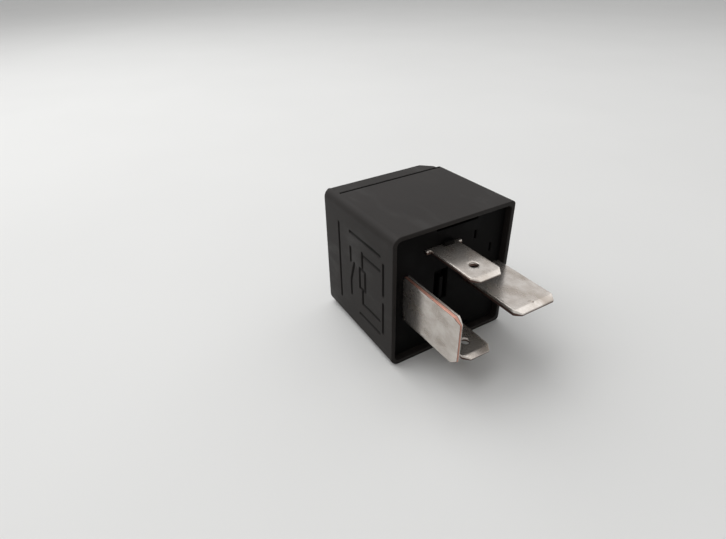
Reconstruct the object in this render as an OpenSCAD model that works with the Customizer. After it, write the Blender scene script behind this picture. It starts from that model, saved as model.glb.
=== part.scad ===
// Plug-in automotive relay: one normally open contact, four blade terminals.
// It lies on one side face, with the blades along -Y and the closed end of
// the cover along +Y. Sizes are in millimetres.
//
// Every piece is drawn in the relay's own axes: x across, y inwards from the
// open rim of the cover, z up from the middle of the body. placed() then puts
// it down with its lowest face at z = 0 and its middle over the origin.

/* [Cover] */
// Width of the cover across the two load blades
body_w = 27.5; // [25:0.5:32]
// Height of the cover across the two coil blades
body_h = 28; // [28:0.5:32]
// Depth of the cover from its open rim to its closed end
body_d = 25.5; // [23.5:0.5:30]
// Wall of the cover beside the mechanism
cover_wall = 1.4; // [1:0.1:1.5]
// Thinner wall of the cover at its mouth, where the base sits
mouth_wall = 0.85; // [0.7:0.05:0.9]
// Closed end of the cover
end_wall = 1.3; // [1:0.1:1.8]
// How much each side leans in from the rim to the closed end
side_draft = 0.35; // [0.1:0.05:0.45]
// Radius of the two long edges beside the diagram
long_edge_r = 1.8; // [1:0.1:2.4]
// Radius of the two long edges away from the diagram
far_edge_r = 0.9; // [0.9:0.1:2]
// Radius of the edges round the closed end
end_edge_r = 0.5; // [0.3:0.1:1]
// Depth of the stepped band at the closed end
band_d = 3.8; // [2:0.1:5]
// How far the band lies below the faces round it, except the diagram's
band_step = 0.5; // [0.2:0.05:0.6]
// Width of the groove at the foot of the band's step
band_groove_w = 0.9; // [0.6:0.1:1.4]
// Cut corner of the band, on the side away from the circuit diagram
band_cut = 3; // [1.5:0.1:3.5]

/* [Circuit diagram] */
// Width of the engraved lines
line_w = 0.6; // [0.3:0.05:0.9]
// Depth of the engraved lines
line_deep = 0.25; // [0.1:0.05:0.4]

/* [Base] */
// How far the base lies inside the rim
base_recess = 1.4; // [0.6:0.1:2]
// Thickness of the base plate
base_t = 2.6; // [2.2:0.1:3]
// Gap between the base and the mouth of the cover
base_gap = 0.1; // [0.05:0.05:0.2]
// Length of each snap latch along the edge of the base
latch_len = 9.5; // [6:0.5:12]
// Thickness of each snap latch
latch_t = 0.7; // [0.5:0.05:1]
// Slit that frees each snap latch
latch_slit = 0.55; // [0.4:0.05:0.8]

/* [Load blades] */
// Width of the load blades
load_w = 9.5; // [8:0.1:9.5]
// Thickness of the load blades
load_t = 1.2; // [0.8:0.1:1.4]
// Width of the load blades where they pass through the base
load_neck_w = 8; // [6:0.1:8.2]
// Length of the load blades beyond the rim
load_len = 13.7; // [10:0.1:18]
// Distance of the common blade's middle from its side of the body
common_inset = 5.75; // [5.65:0.05:5.95]
// Distance of the switched blade's middle from the other side of the body
switched_inset = 3.95; // [3.75:0.05:4.05]

/* [Coil blades] */
// Width of the coil blades
coil_blade_w = 6.3; // [5:0.1:6.6]
// Thickness of the coil blades
coil_blade_t = 0.8; // [0.6:0.1:1]
// Length of the coil blades beyond the rim
coil_blade_len = 11; // [9:0.1:14]
// Spacing of the two coil blades
coil_blade_pitch = 16.8; // [16.6:0.1:18]
// Distance of the coil blades' middle from the switched blade
coil_blade_spacing = 7.9; // [7.6:0.1:8.3]
// Width of the shoulders at the roots of the coil blades
shoulder_w = 8; // [6.8:0.1:8.4]
// Radius of the detent hole in each coil blade
detent_r = 0.85; // [0.6:0.05:1]
// Distance of the detent hole from the tip of its blade
detent_from_tip = 4.2; // [3:0.1:5]

/* [Magnet] */
// Radius of the iron core, as a share of the winding's outer radius
core_share = 0.5; // [0.4:0.01:0.54]
// Radius of the pole face at the end of the core
pole_r = 4.4; // [3.6:0.1:4.8]
// Thickness of the pole face
pole_t = 0.85; // [0.6:0.05:1.1]
// Room between the yoke's leg and the cover for the return spring and the braid
spring_room = 3.6; // [3.5:0.05:4]
// Thickness of the yoke
yoke_t = 1.4; // [1.2:0.05:1.5]
// How far each edge of the yoke lies inside the edge of the flanges
yoke_edge = 0.6; // [0.4:0.1:1.4]
// Thickness of the armature
armature_t = 1.4; // [1:0.1:1.6]
// Thickness of the bobbin flanges
flange_t = 0.9; // [0.6:0.1:1.2]
// Wall of the bobbin tube
tube_wall = 0.7; // [0.5:0.05:0.9]
// Diameter of the winding's wire, as its outer layer shows
wire_d = 0.36; // [0.3:0.02:0.5]
// How far the winding stays inside the edge of the flanges
winding_edge = 0.5; // [0.4:0.1:1]

/* [Contacts] */
// How far the armature swings between rest and closed, in degrees
swing = 4; // [3:0.5:4.5]
// Thickness of the copper contact arm
arm_t = 0.4; // [0.3:0.05:0.5]
// Width of the contact arm on the armature
arm_w = 6.4; // [5:0.2:8]
// Radius of the contact tips
tip_r = 1.6; // [1.2:0.1:1.7]
// Thickness of the fixed contact tip
fixed_tip_t = 1; // [0.7:0.05:1.1]
// Thickness of the strip that stops the arm at rest
stop_t = 0.7; // [0.5:0.05:0.8]

/* [Spring and braid] */
// Diameter of the spring wire
spring_wire = 0.4; // [0.3:0.02:0.5]
// Outer diameter of the return spring
spring_od = 2.8; // [2.2:0.1:3]
// Diameter of the copper braid
braid_d = 1.5; // [1:0.1:1.6]

/* [Hidden] */
$fn = 48;

// Clearances
fit = 0.05;          // between pieces pressed or staked together
seat_gap = 0.1;      // under a piece that stands on another
coil_gap = 0.3;      // between the bobbin and what stands beside it
stop_gap = 0.05;     // between contact faces, and between arm and stop
end_gap = 0.7;       // between the rest stop and the closed end
bite = 1;            // overshoot of a cut, clear of what it cuts

// Overall place
total_len = body_d + load_len;
rim_y = load_len - total_len / 2;
body_mid_z = body_h / 2;

// Cover
band_y = body_d - band_d;
cavity_end_y = body_d - end_wall;
base_in_y = base_recess + base_t;
base_w = body_w - 2 * (mouth_wall + base_gap);
base_h = body_h - 2 * (mouth_wall + base_gap);
mouth_r = long_edge_r - mouth_wall;
groove_deep = 0.25;  // below the band
latch_x = 1.2;
latch_nub = 0.3;
latch_nub_len = 4;
latch_nub_y = base_recess + 1.2;

// Blades
common_x = body_w / 2 - common_inset;
switched_x = switched_inset - body_w / 2;
coil_blade_x = switched_x + coil_blade_spacing;
load_tip_cut = 1.3;
coil_tip_cut = 1.4;
bevel_len = 1.1;
neck_w = 3;
neck_len = 1.2;
post_half = 0.6;
post_len = 5;
post_y = base_in_y + post_len;

// Side of the contacts: strip of the switched blade, contact and rest stop
bend_r = 0.4;
strip_x = switched_x - load_t / 2;
contact_x = strip_x + load_t + bend_r + 0.8 * tip_r;
shelf_rim = 0.1;
shelf_end_x = contact_x + tip_r + shelf_rim;
shelf_half = 3;
arm_tip_rim = 1;
arm_tip_r = tip_r + arm_tip_rim;
arm_tip_x = contact_x - arm_tip_r;
stop_spacing = 0.6;
stop_x = strip_x - stop_spacing;
stop_half = 2;
stop_lip_x = contact_x - tip_r;

// Side of the hinge, and the coil in what is left between the two sides
hinge_x = body_w / 2 - side_draft - cover_wall - spring_room;
leg_x = hinge_x - yoke_t;
foot_end_x = shelf_end_x + coil_gap;
flange_half = (leg_x - coil_gap - foot_end_x) / 2;
core_x = foot_end_x + flange_half;
yoke_w = 2 * (flange_half - yoke_edge);
prong_w = 2.4;
prong_deep = 1.4;
prong_inset = 1.9;
prong_z = yoke_w / 2 - prong_inset;
ear_len = 3;
ear_x = hinge_x + ear_len;
ear_w = 2.6;
ear_z = (yoke_w - ear_w) / 2;
ear_rise = 4.6;
ear_y = base_in_y + ear_rise;

// Stack along y: the foot stands on the base, and the stop by the closed end
arm_stack = stop_gap + armature_t + fit + arm_t;
foot_y = base_in_y + coil_gap;
flange_y = foot_y + yoke_t + fit;
stop_lip_y = cavity_end_y - end_gap - stop_t;
rest_top_y = stop_lip_y - stop_gap;
pole_y = rest_top_y - (hinge_x - arm_tip_x) * sin(swing) - arm_stack * cos(swing);
hinge_y = pole_y;
pole_seat_y = pole_y - pole_t;
bobbin_len = pole_seat_y - fit - flange_y;
armature_y = pole_y + stop_gap;
arm_y = armature_y + armature_t + fit;
arm_top_y = arm_y + arm_t;
tip_lap = 0.3;
shelf_y = armature_y - fixed_tip_t + tip_lap;
fixed_face_y = shelf_y + fixed_tip_t;
moving_face_y = fixed_face_y + stop_gap;
pole_rim = 0.6;
armature_end_x = core_x - pole_r - pole_rim;

// Core and winding
winding_out_r = flange_half - winding_edge;
core_r = core_share * winding_out_r;
stake_rim = 0.5;
spigot_r = core_r - stake_rim;
stake_r = spigot_r + stake_rim;
stake_t = 0.2;
tube_r = core_r + fit;
notch_deep = 1.2;
winding_in_r = tube_r + tube_wall + fit;

// Rivets of the contact arm
rivet_r = 0.8;
rivet_spread = 2.3;
rivet_x = core_x - 0.5;
rivet_head_r = 1.3;
rivet_head_t = 0.5;

// Tab of the common blade, braid and spring
tab_spacing = 0.6;
tab_len = 3.6;
common_tab_x = hinge_x + tab_spacing;
common_tab_end = common_x + load_neck_w / 2;
common_tab_y = base_in_y + tab_len;
braid_r = braid_d / 2;
braid_z = -load_t / 2 - braid_r - fit;
braid_x = common_tab_x + braid_r + tab_spacing;
braid_foot = 3;
braid_rise = 4;
braid_land_x = hinge_x - 1.4;
braid_pad = 2.2;
spring_x = hinge_x + 1.7;
spring_r = (spring_od - spring_wire) / 2;
hook_r = spring_wire / 2 + 0.25;
hook_len = 0.8;
hook_gap = 0.2;
coil_end_gap = 1;
coil_start_y = ear_y + yoke_t + coil_end_gap;
coil_end_y = armature_y - coil_end_gap;

// ---------------------------------------------------------------- helpers

// Puts the relay's own axes into the resting frame.
module placed() {
    translate([0, rim_y, body_mid_z])
        children();
}

// Carries a flat outline, drawn in x and z, from y0 to y1.
module slab(y0, y1) {
    translate([0, y1, 0])
        rotate([90, 0, 0])
            linear_extrude(y1 - y0)
                children();
}

// Carries a flat outline, drawn in x and y, through the height h.
module sheet(h) {
    translate([0, 0, -h / 2])
        linear_extrude(h)
            children();
}

// Turns a profile, drawn as radius and y, about an axis along y.
module turned_piece(x, z = 0) {
    translate([x, 0, z])
        rotate([-90, 0, 0])
            rotate_extrude()
                children();
}

module rod(x, z, y0, y1, r) {
    translate([x, y0, z])
        rotate([-90, 0, 0])
            cylinder(h = y1 - y0, r = r);
}

module rounded_rect(w, h, r) {
    square([w - 2 * r, h], center = true);
    square([w, h - 2 * r], center = true);
    for (sx = [-1, 1], sz = [-1, 1])
        translate([sx * (w / 2 - r), sz * (h / 2 - r)])
            circle(r);
}

module block(x0, x1, y0, y1, z0, z1) {
    translate([x0, y0, z0])
        cube([x1 - x0, y1 - y0, z1 - z0]);
}

// Quarter ring in the x-y plane: the bend of a folded strip.
module bend(cx, cy, r_in, t, sx, sy) {
    translate([cx, cy])
        intersection() {
            difference() {
                circle(r_in + t);
                circle(r_in);
            }
            translate([sx > 0 ? 0 : -(r_in + t), sy > 0 ? 0 : -(r_in + t)])
                square(r_in + t);
        }
}

// A point of the closed armature, [x, y], where it lies at rest.
function turned(p) = [
    hinge_x + (p[0] - hinge_x) * cos(swing) + (p[1] - hinge_y) * sin(swing),
    hinge_y - (p[0] - hinge_x) * sin(swing) + (p[1] - hinge_y) * cos(swing)
];

// Swings what is drawn closed back to its place at rest.
module at_rest() {
    translate([hinge_x, hinge_y, 0])
        rotate([0, 0, -swing])
            translate([-hinge_x, -hinge_y, 0])
                children();
}

function unit(v) = v / norm(v);

// Smooth curve through chosen points, with steps between each pair.
function smooth(p, steps = 2) = concat(
    [for (i = [0:len(p) - 2], k = [0:steps - 1])
        let (
            t = k / steps,
            a = p[max(i - 1, 0)],
            b = p[i],
            c = p[i + 1],
            d = p[min(i + 2, len(p) - 1)]
        )
        b + (c - a) * t / 2 + (2 * a - 5 * b + 4 * c - d) * t * t / 2
            + (3 * b - a - 3 * c + d) * pow(t, 3) / 2],
    [p[len(p) - 1]]
);

// Round wire along a path: rings of points square to the path, then a skin.
// Each ring starts from the last one's side, so the skin never twists.
module wire(path, r, sides = 8) {
    n = len(path);
    heading = [for (i = [0:n - 1])
        unit(path[min(i + 1, n - 1)] - path[max(i - 1, 0)])];
    first = unit(cross(heading[0], [0.3, 0.2, 1]));
    side = [for (i = 0, v = first; i < n;
        i = i + 1, v = i < n ? unit(v - (v * heading[i]) * heading[i]) : v) v];
    rings = [for (i = [0:n - 1], k = [0:sides - 1])
        path[i] + r * (cos(360 * k / sides) * side[i]
            + sin(360 * k / sides) * cross(heading[i], side[i]))];
    skin = [for (i = [0:n - 2], k = [0:sides - 1])
        [i * sides + k, i * sides + (k + 1) % sides,
            (i + 1) * sides + (k + 1) % sides, (i + 1) * sides + k]];
    caps = [
        [for (k = [sides - 1:-1:0]) k],
        [for (k = [0:sides - 1]) (n - 1) * sides + k]
    ];
    polyhedron(rings, concat(skin, caps), convexity = 10);
}

// ------------------------------------------------------------------ cover

// Outline of the cover, drawn in from its nominal sides by off, with one
// corner radius beside the diagram and another away from it.
module uneven_rect(off, near_r, far_r) {
    w = body_w - 2 * off;
    h = body_h - 2 * off;
    for (side = [[-1, near_r], [1, far_r]]) {
        r = side[1];
        translate([side[0] * (w / 2 - r) / 2, 0])
            square([w / 2 - r, h], center = true);
        translate([side[0] * w / 4, 0])
            square([w / 2, h - 2 * r], center = true);
        for (sz = [-1, 1])
            translate([side[0] * (w / 2 - r), sz * (h / 2 - r)])
                circle(r);
    }
}

// How far the leaning sides have come in at depth y.
function lean(y) = side_draft * y / body_d;

// Lofts the cover's leaning sides from y0 to y1.
module cover_loft(y0, y1, inset, near_r, far_r) {
    sliver = 0.01;
    hull() {
        slab(y0, y0 + sliver)
            uneven_rect(lean(y0) + inset, near_r, far_r);
        slab(y1 - sliver, y1)
            uneven_rect(lean(y1) + inset, near_r, far_r);
    }
}

// The closed end, a step lower on top and bottom, with its edges rounded.
module cover_band() {
    steps = 4;
    hull() {
        slab(band_y - band_step, band_y)
            uneven_rect(lean(band_y), long_edge_r, far_edge_r);
        for (i = [0:steps]) {
            turn = 90 * i / steps;
            inset = end_edge_r * (1 - cos(turn));
            y = body_d - end_edge_r * (1 - sin(turn));
            slab(y - 0.01, y)
                uneven_rect(lean(y) + inset, long_edge_r, far_edge_r);
        }
    }
}

// What is cut off round three sides of the band, from y0 to y1. The diagram's
// side stays whole.
module band_step_cut(y0, y1, deep) {
    slab(y0, y1)
        difference() {
            translate([-body_w / 2 + long_edge_r, -body_h])
                square([2 * body_w, 2 * body_h]);
            uneven_rect(lean(band_y) + deep, long_edge_r, far_edge_r - deep);
        }
}

// Wedge that cuts the corner at high x of the closed end, moved in by depth.
module corner_wedge(depth) {
    cut_t = band_cut + bite;
    translate([body_w / 2 - side_draft - band_cut, body_d, 0])
        rotate([0, 0, -45])
            translate([-bite, -depth, -body_h / 2])
                cube([2 * cut_t, cut_t, body_h]);
}

// Room for the mechanism: its corner is cut too, which keeps the wall whole.
module cavity() {
    difference() {
        cover_loft(-bite, cavity_end_y, cover_wall, mouth_r, mouth_r);
        corner_wedge(cover_wall);
    }
}

// A straight engraved line between two places on the diagram face.
module groove(y0, z0, y1, z1) {
    run = norm([y1 - y0, z1 - z0]);
    translate([0, y0, z0])
        rotate([atan2(z1 - z0, y1 - y0), 0, 0])
            translate([-bite, -line_w / 2, -line_w / 2])
                cube([bite + line_deep, run + line_w, line_w]);
}

// Circuit of the relay, on the side face at low x: frame, contact and coil.
module diagram() {
    low_z = -0.31 * body_h;
    high_z = 0.31 * body_h;
    rail_in_y = 0.76 * body_d;
    rail_out_y = 0.12 * body_d;
    contact_y = 0.585 * body_d;
    coil_y = 0.41 * body_d;
    gap_z = 0.08 * body_h;
    rail_gap = 1.2;
    switch_lean = 1.4;
    plate = 1;
    translate([-body_w / 2, 0, 0])
        rotate([0, 0, -atan(side_draft / body_d)]) {
            groove(rail_in_y, low_z, rail_in_y, high_z);
            groove(rail_out_y, low_z * 0.9, rail_out_y, -0.04 * body_h);
            groove(rail_out_y, 0.03 * body_h, rail_out_y, high_z * 0.85);
            groove(rail_out_y + rail_gap, high_z, contact_y, high_z);
            groove(rail_out_y + rail_gap, low_z, coil_y + rail_gap, low_z);
            groove(contact_y, high_z * 0.6, contact_y, gap_z);
            groove(contact_y - switch_lean, gap_z, contact_y, -gap_z);
            groove(contact_y, -gap_z, contact_y, low_z * 0.65);
            groove(coil_y, high_z * 0.7, coil_y, gap_z);
            groove(coil_y, -gap_z, coil_y, low_z * 0.65);
            for (dy = [-plate, plate])
                groove(coil_y + dy, -gap_z, coil_y + dy, gap_z);
            for (z = [-gap_z, gap_z])
                groove(coil_y - plate, z, coil_y + plate, z);
            groove(rail_out_y + rail_gap, high_z * 0.65, coil_y, high_z * 0.65);
            groove(rail_out_y + rail_gap, low_z * 0.65, coil_y, low_z * 0.65);
        }
}

// Pockets in the mouth of the cover that the base's latches snap into.
module latch_pockets() {
    for (sz = [-1, 1])
        scale([1, 1, sz])
            block(latch_x - latch_nub_len / 2 - 0.2, latch_x + latch_nub_len / 2 + 0.2,
                latch_nub_y - 0.2, latch_nub_y + 1.2,
                base_h / 2 - 0.2, base_h / 2 + base_gap + latch_nub + 0.1);
}

module cover() {
    color([0.2, 0.19, 0.18])
        difference() {
            union() {
                cover_loft(0, band_y, 0, long_edge_r, far_edge_r);
                difference() {
                    cover_band();
                    band_step_cut(band_y, body_d + bite, band_step);
                    band_step_cut(band_y, band_y + band_groove_w, band_step + groove_deep);
                    corner_wedge(0);
                }
            }
            cavity();
            slab(-bite, base_in_y + fit)
                rounded_rect(base_w + 2 * base_gap, base_h + 2 * base_gap, mouth_r);
            diagram();
            latch_pockets();
        }
}

// ------------------------------------------------------------------- base

module blade_slots(y0, y1) {
    block(common_x - load_neck_w / 2 - fit, common_x + load_neck_w / 2 + fit, y0, y1,
        -load_t / 2 - fit, load_t / 2 + fit);
    block(switched_x - load_t / 2 - fit, switched_x + load_t / 2 + fit, y0, y1,
        -load_neck_w / 2 - fit, load_neck_w / 2 + fit);
    for (sz = [-1, 1])
        block(coil_blade_x - shoulder_w / 2 - fit, coil_blade_x + shoulder_w / 2 + fit, y0, y1,
            sz * coil_blade_pitch / 2 - coil_blade_t / 2 - fit,
            sz * coil_blade_pitch / 2 + coil_blade_t / 2 + fit);
}

// The blanked place of a fifth blade: a blind slot with a web across it.
module blank_slot() {
    slot_w = 3.2;
    slot_h = 6.8;
    slot_deep = 1.7;
    web_t = 0.8;
    web_low = 0.3;
    web_short = 2;
    difference() {
        block(coil_blade_x - slot_w / 2, coil_blade_x + slot_w / 2,
            base_recess - bite, base_recess + slot_deep, -slot_h / 2, slot_h / 2);
        block(coil_blade_x, coil_blade_x + web_t,
            base_recess + web_low, base_in_y, -slot_h, slot_h / 2 - web_short);
    }
}

// Two shallow marks left in the face of the base by the mould.
module mould_marks() {
    mark_w = 0.5;
    mark_h = 1.8;
    mark_deep = 0.5;
    for (inset = [[2.9, 8.5], [7.1, 4.5]])
        block(base_w / 2 - inset[0] - mark_w / 2, base_w / 2 - inset[0] + mark_w / 2,
            base_recess - bite, base_recess + mark_deep,
            base_h / 2 - inset[1] - mark_h / 2, base_h / 2 - inset[1] + mark_h / 2);
}

module snap_latch() {
    slit_z = base_h / 2 - latch_t;
    difference() {
        union() {
            children();
            for (sz = [-1, 1])
                scale([1, 1, sz])
                    translate([latch_x - latch_nub_len / 2, 0, base_h / 2])
                        rotate([90, 0, 90])
                            linear_extrude(latch_nub_len)
                                polygon([
                                    [latch_nub_y, -0.1], [latch_nub_y, latch_nub],
                                    [latch_nub_y + 1, 0], [latch_nub_y + 1, -0.1]
                                ]);
        }
        for (sz = [-1, 1])
            scale([1, 1, sz])
                block(latch_x - latch_len / 2, latch_x + latch_len / 2,
                    0, base_in_y + bite, slit_z - latch_slit, slit_z);
    }
}

module base() {
    nub_w = 2.3;
    nub_t = 0.8;
    nub_out = 0.9;
    nub_x = coil_blade_x + 0.8;
    nub_z = coil_blade_pitch / 2 + coil_blade_t / 2 + fit;
    color([0.13, 0.13, 0.13])
        difference() {
            union() {
                snap_latch()
                    slab(base_recess, base_in_y)
                        rounded_rect(base_w, base_h, mouth_r - base_gap);
                for (sz = [-1, 1])
                    block(nub_x - nub_w / 2, nub_x + nub_w / 2, base_recess - nub_out, base_in_y,
                        sz > 0 ? nub_z : nub_z - coil_blade_pitch,
                        (sz > 0 ? nub_z : nub_z - coil_blade_pitch) + nub_t);
            }
            blade_slots(base_recess - bite, base_in_y + bite);
            blank_slot();
            for (sz = [-1, 1])
                block(leg_x - prong_w - fit, leg_x + fit,
                    foot_y - prong_deep - fit, base_in_y + bite,
                    sz * prong_z - yoke_t / 2 - fit, sz * prong_z + yoke_t / 2 + fit);
            block(stop_x - stop_t - fit, stop_x + fit, base_in_y - prong_deep, base_in_y + bite,
                -stop_half - fit, stop_half + fit);
            mould_marks();
        }
}

// -------------------------------------------------------------- terminals

// Flat blade in the x-y plane: cut corners at the tip and a coined bevel.
module blade(w, t, tip_len, root_y, tip_cut) {
    intersection() {
        sheet(t)
            polygon([
                [-w / 2, root_y], [w / 2, root_y],
                [w / 2, -tip_len + tip_cut], [w / 2 - tip_cut * 0.7, -tip_len],
                [-w / 2 + tip_cut * 0.7, -tip_len], [-w / 2, -tip_len + tip_cut]
            ]);
        translate([-w / 2 - bite, 0, 0])
            rotate([90, 0, 90])
                linear_extrude(w + 2 * bite)
                    polygon([
                        [root_y, -t / 2], [root_y, t / 2],
                        [-tip_len + bevel_len, t / 2], [-tip_len, t / 5],
                        [-tip_len, -t / 5], [-tip_len + bevel_len, -t / 2]
                    ]);
    }
}

// Load blade: its shoulders stop on the base, and a neck passes through it.
module load_blade() {
    blade(load_w, load_t, load_len, base_recess, load_tip_cut);
    block(-load_neck_w / 2, load_neck_w / 2, 0, base_in_y, -load_t / 2, load_t / 2);
}

module terminal_30() {
    dimple_r = 0.5;
    dimple_from_tip = 1.6;
    color([0.78, 0.75, 0.71])
        difference() {
            union() {
                translate([common_x, 0, 0])
                    load_blade();
                block(common_tab_x, common_tab_end, base_in_y - fit, common_tab_y,
                    -load_t / 2, load_t / 2);
            }
            translate([common_x - 0.3, -load_len + dimple_from_tip, load_t / 2 - 0.2])
                cylinder(h = bite, r = dimple_r);
        }
}

module terminal_87() {
    strip_end = shelf_y - bend_r - load_t;
    color([0.78, 0.75, 0.71])
        difference() {
            union() {
                translate([switched_x, 0, 0])
                    rotate([0, 90, 0])
                        load_blade();
                sheet(2 * shelf_half) {
                    translate([strip_x, base_in_y - fit])
                        square([load_t, strip_end - base_in_y + fit]);
                    bend(strip_x + load_t + bend_r, strip_end, bend_r, load_t, -1, 1);
                    translate([strip_x + load_t + bend_r, shelf_y - load_t])
                        square([shelf_end_x - strip_x - load_t - bend_r, load_t]);
                }
            }
            rod(contact_x, 0, shelf_y - load_t - bite, shelf_y + bite, tip_r / 2 + fit);
        }
}

// Coil blade on its own centre, with its shoulders and the lead's post.
module coil_blade() {
    shoulder_out = 0.5;
    color([0.78, 0.75, 0.71])
        difference() {
            union() {
                blade(coil_blade_w, coil_blade_t, coil_blade_len, base_in_y, coil_tip_cut);
                block(-shoulder_w / 2, shoulder_w / 2, base_recess - shoulder_out, base_in_y,
                    -coil_blade_t / 2, coil_blade_t / 2);
                block(-neck_w / 2, neck_w / 2, base_in_y - fit, base_in_y + neck_len,
                    -coil_blade_t / 2, coil_blade_t / 2);
                block(-post_half, post_half, base_in_y, post_y,
                    -coil_blade_t / 2, coil_blade_t / 2);
            }
            translate([0, -coil_blade_len + detent_from_tip, -coil_blade_t])
                cylinder(h = 2 * coil_blade_t, r = detent_r);
        }
}

module terminal_85() {
    translate([coil_blade_x, 0, coil_blade_pitch / 2])
        coil_blade();
}

module terminal_86() {
    translate([coil_blade_x, 0, -coil_blade_pitch / 2])
        coil_blade();
}

// ----------------------------------------------------------------- magnet

module bobbin() {
    notch_w = 1.4;
    far_y = flange_y + bobbin_len;
    color([0.86, 0.82, 0.7])
        difference() {
            union() {
                rod(core_x, 0, flange_y, far_y, tube_r + tube_wall);
                for (y = [flange_y, far_y - flange_t])
                    translate([core_x, 0, 0])
                        slab(y, y + flange_t)
                            rounded_rect(2 * flange_half, 2 * flange_half, 1);
            }
            rod(core_x, 0, flange_y - bite, far_y + bite, tube_r);
            for (sz = [-1, 1])
                block(coil_blade_x - notch_w / 2, coil_blade_x + notch_w / 2,
                    flange_y - bite, flange_y + flange_t + bite,
                    sz > 0 ? flange_half - notch_deep : -flange_half - bite,
                    sz > 0 ? flange_half + bite : -flange_half + notch_deep);
        }
}

// Layered winding: its outer layer shows as one ridge for each turn.
module coil_winding() {
    start_y = flange_y + flange_t + seat_gap;
    room = bobbin_len - 2 * flange_t - 2 * seat_gap;
    turns = floor(room / wire_d);
    pitch = room / turns;
    low_r = winding_out_r - wire_d / 4;
    color([0.62, 0.27, 0.12])
        turned_piece(core_x)
            polygon(concat(
                [[winding_in_r, start_y]],
                [for (i = [0:turns - 1], s = [0:2])
                    [s == 0 ? low_r : winding_out_r, start_y + pitch * (i + s / 3)]],
                [[low_r, start_y + room], [winding_in_r, start_y + room]]
            ));
}

// Start or end of the winding: off its outer layer, through the flange's
// notch, then three turns round the post of its coil blade.
function lead_path(side) =
    let (
        lead_r = wire_d / 2,
        wrap_r = norm([post_half, coil_blade_t / 2]) + lead_r + fit,
        wrap_y = base_in_y + 0.4 * post_len,
        wrap_pitch = 2.6 * lead_r,
        post_z = coil_blade_pitch / 2,
        off_z = sqrt(pow(winding_out_r, 2) - pow(core_x - coil_blade_x, 2)) + 2 * lead_r,
        off_y = flange_y + flange_t + 2.5 * wire_d,
        wraps = 3,
        steps = 6
    )
    smooth(concat(
        [
            [coil_blade_x + 5 * wire_d, off_y + 0.3 * wire_d, side * (off_z + 1.5 * wire_d)],
            [coil_blade_x + 3 * wire_d, off_y, side * (off_z + wire_d)],
            [coil_blade_x + wire_d / 2, off_y - wire_d, side * (off_z + 0.8 * wire_d)],
            [coil_blade_x, flange_y + flange_t / 2, side * (flange_half - notch_deep / 2)],
            [coil_blade_x - 0.3 * wire_d, wrap_y + 0.3 * wire_d,
                side * (post_z - wrap_r - 0.8 * wire_d)]
        ],
        [for (i = [1:wraps * steps])
            let (turn = 360 * i / steps)
            [coil_blade_x + wrap_r * sin(turn), wrap_y + i * wrap_pitch / steps,
                side * (post_z - wrap_r * cos(turn))]]
    ), 3);

module coil_lead_85() {
    color([0.7, 0.35, 0.16])
        wire(lead_path(1), wire_d / 2, 6);
}

module coil_lead_86() {
    color([0.7, 0.35, 0.16])
        wire(lead_path(-1), wire_d / 2, 6);
}

// Core: staked through the yoke's foot, with the pole face at the far end.
module core() {
    color([0.66, 0.67, 0.68])
        turned_piece(core_x)
            polygon([
                [0, foot_y - stake_t], [stake_r, foot_y - stake_t], [stake_r, foot_y - fit],
                [spigot_r, foot_y - fit], [spigot_r, foot_y + yoke_t + fit],
                [core_r, foot_y + yoke_t + fit], [core_r, pole_seat_y],
                [pole_r, pole_seat_y], [pole_r, pole_y - 0.2], [pole_r - 0.2, pole_y],
                [0, pole_y]
            ]);
}

// Folded iron yoke: foot under the coil, leg beside it, prongs into the base
// and an ear that holds the return spring.
module yoke() {
    leg_in_y = foot_y + yoke_t + bend_r;
    color([0.74, 0.71, 0.6])
        difference() {
            union() {
                sheet(yoke_w) {
                    translate([foot_end_x, foot_y])
                        square([leg_x - bend_r - foot_end_x, yoke_t]);
                    bend(leg_x - bend_r, leg_in_y, bend_r, yoke_t, 1, -1);
                    translate([leg_x, leg_in_y])
                        square([yoke_t, hinge_y - leg_in_y]);
                }
                for (sz = [-1, 1])
                    block(leg_x - prong_w, leg_x - bend_r, foot_y - prong_deep, foot_y + fit,
                        sz * prong_z - yoke_t / 2, sz * prong_z + yoke_t / 2);
                block(leg_x, ear_x, ear_y, ear_y + yoke_t, ear_z - ear_w / 2, ear_z + ear_w / 2);
            }
            rod(core_x, 0, foot_y - bite, foot_y + yoke_t + bite, spigot_r + fit);
            rod(spring_x, ear_z, ear_y - bite, ear_y + yoke_t + bite, hook_r);
        }
}

// ----------------------------------------------------------- moving pieces

module armature() {
    narrow_w = 2 * pole_r + pole_rim;
    hinge_lap = 1.5;
    color([0.72, 0.72, 0.7])
        at_rest()
            difference() {
                translate([0, armature_y, 0])
                    slab(0, armature_t) {
                        translate([leg_x - hinge_lap, -yoke_w / 2])
                            square([hinge_x - leg_x + hinge_lap, yoke_w]);
                        translate([armature_end_x, -narrow_w / 2])
                            square([leg_x - armature_end_x, narrow_w]);
                        translate([leg_x, ear_z - ear_w / 2])
                            square([ear_x - leg_x, ear_w]);
                    }
                for (x = rivet_places())
                    rod(x, 0, armature_y - bite, arm_top_y + bite, rivet_r + fit);
                rod(spring_x, ear_z, armature_y - bite, armature_y + armature_t + bite, hook_r);
            }
}

function rivet_places() = [rivet_x - rivet_spread, rivet_x + rivet_spread];

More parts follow.
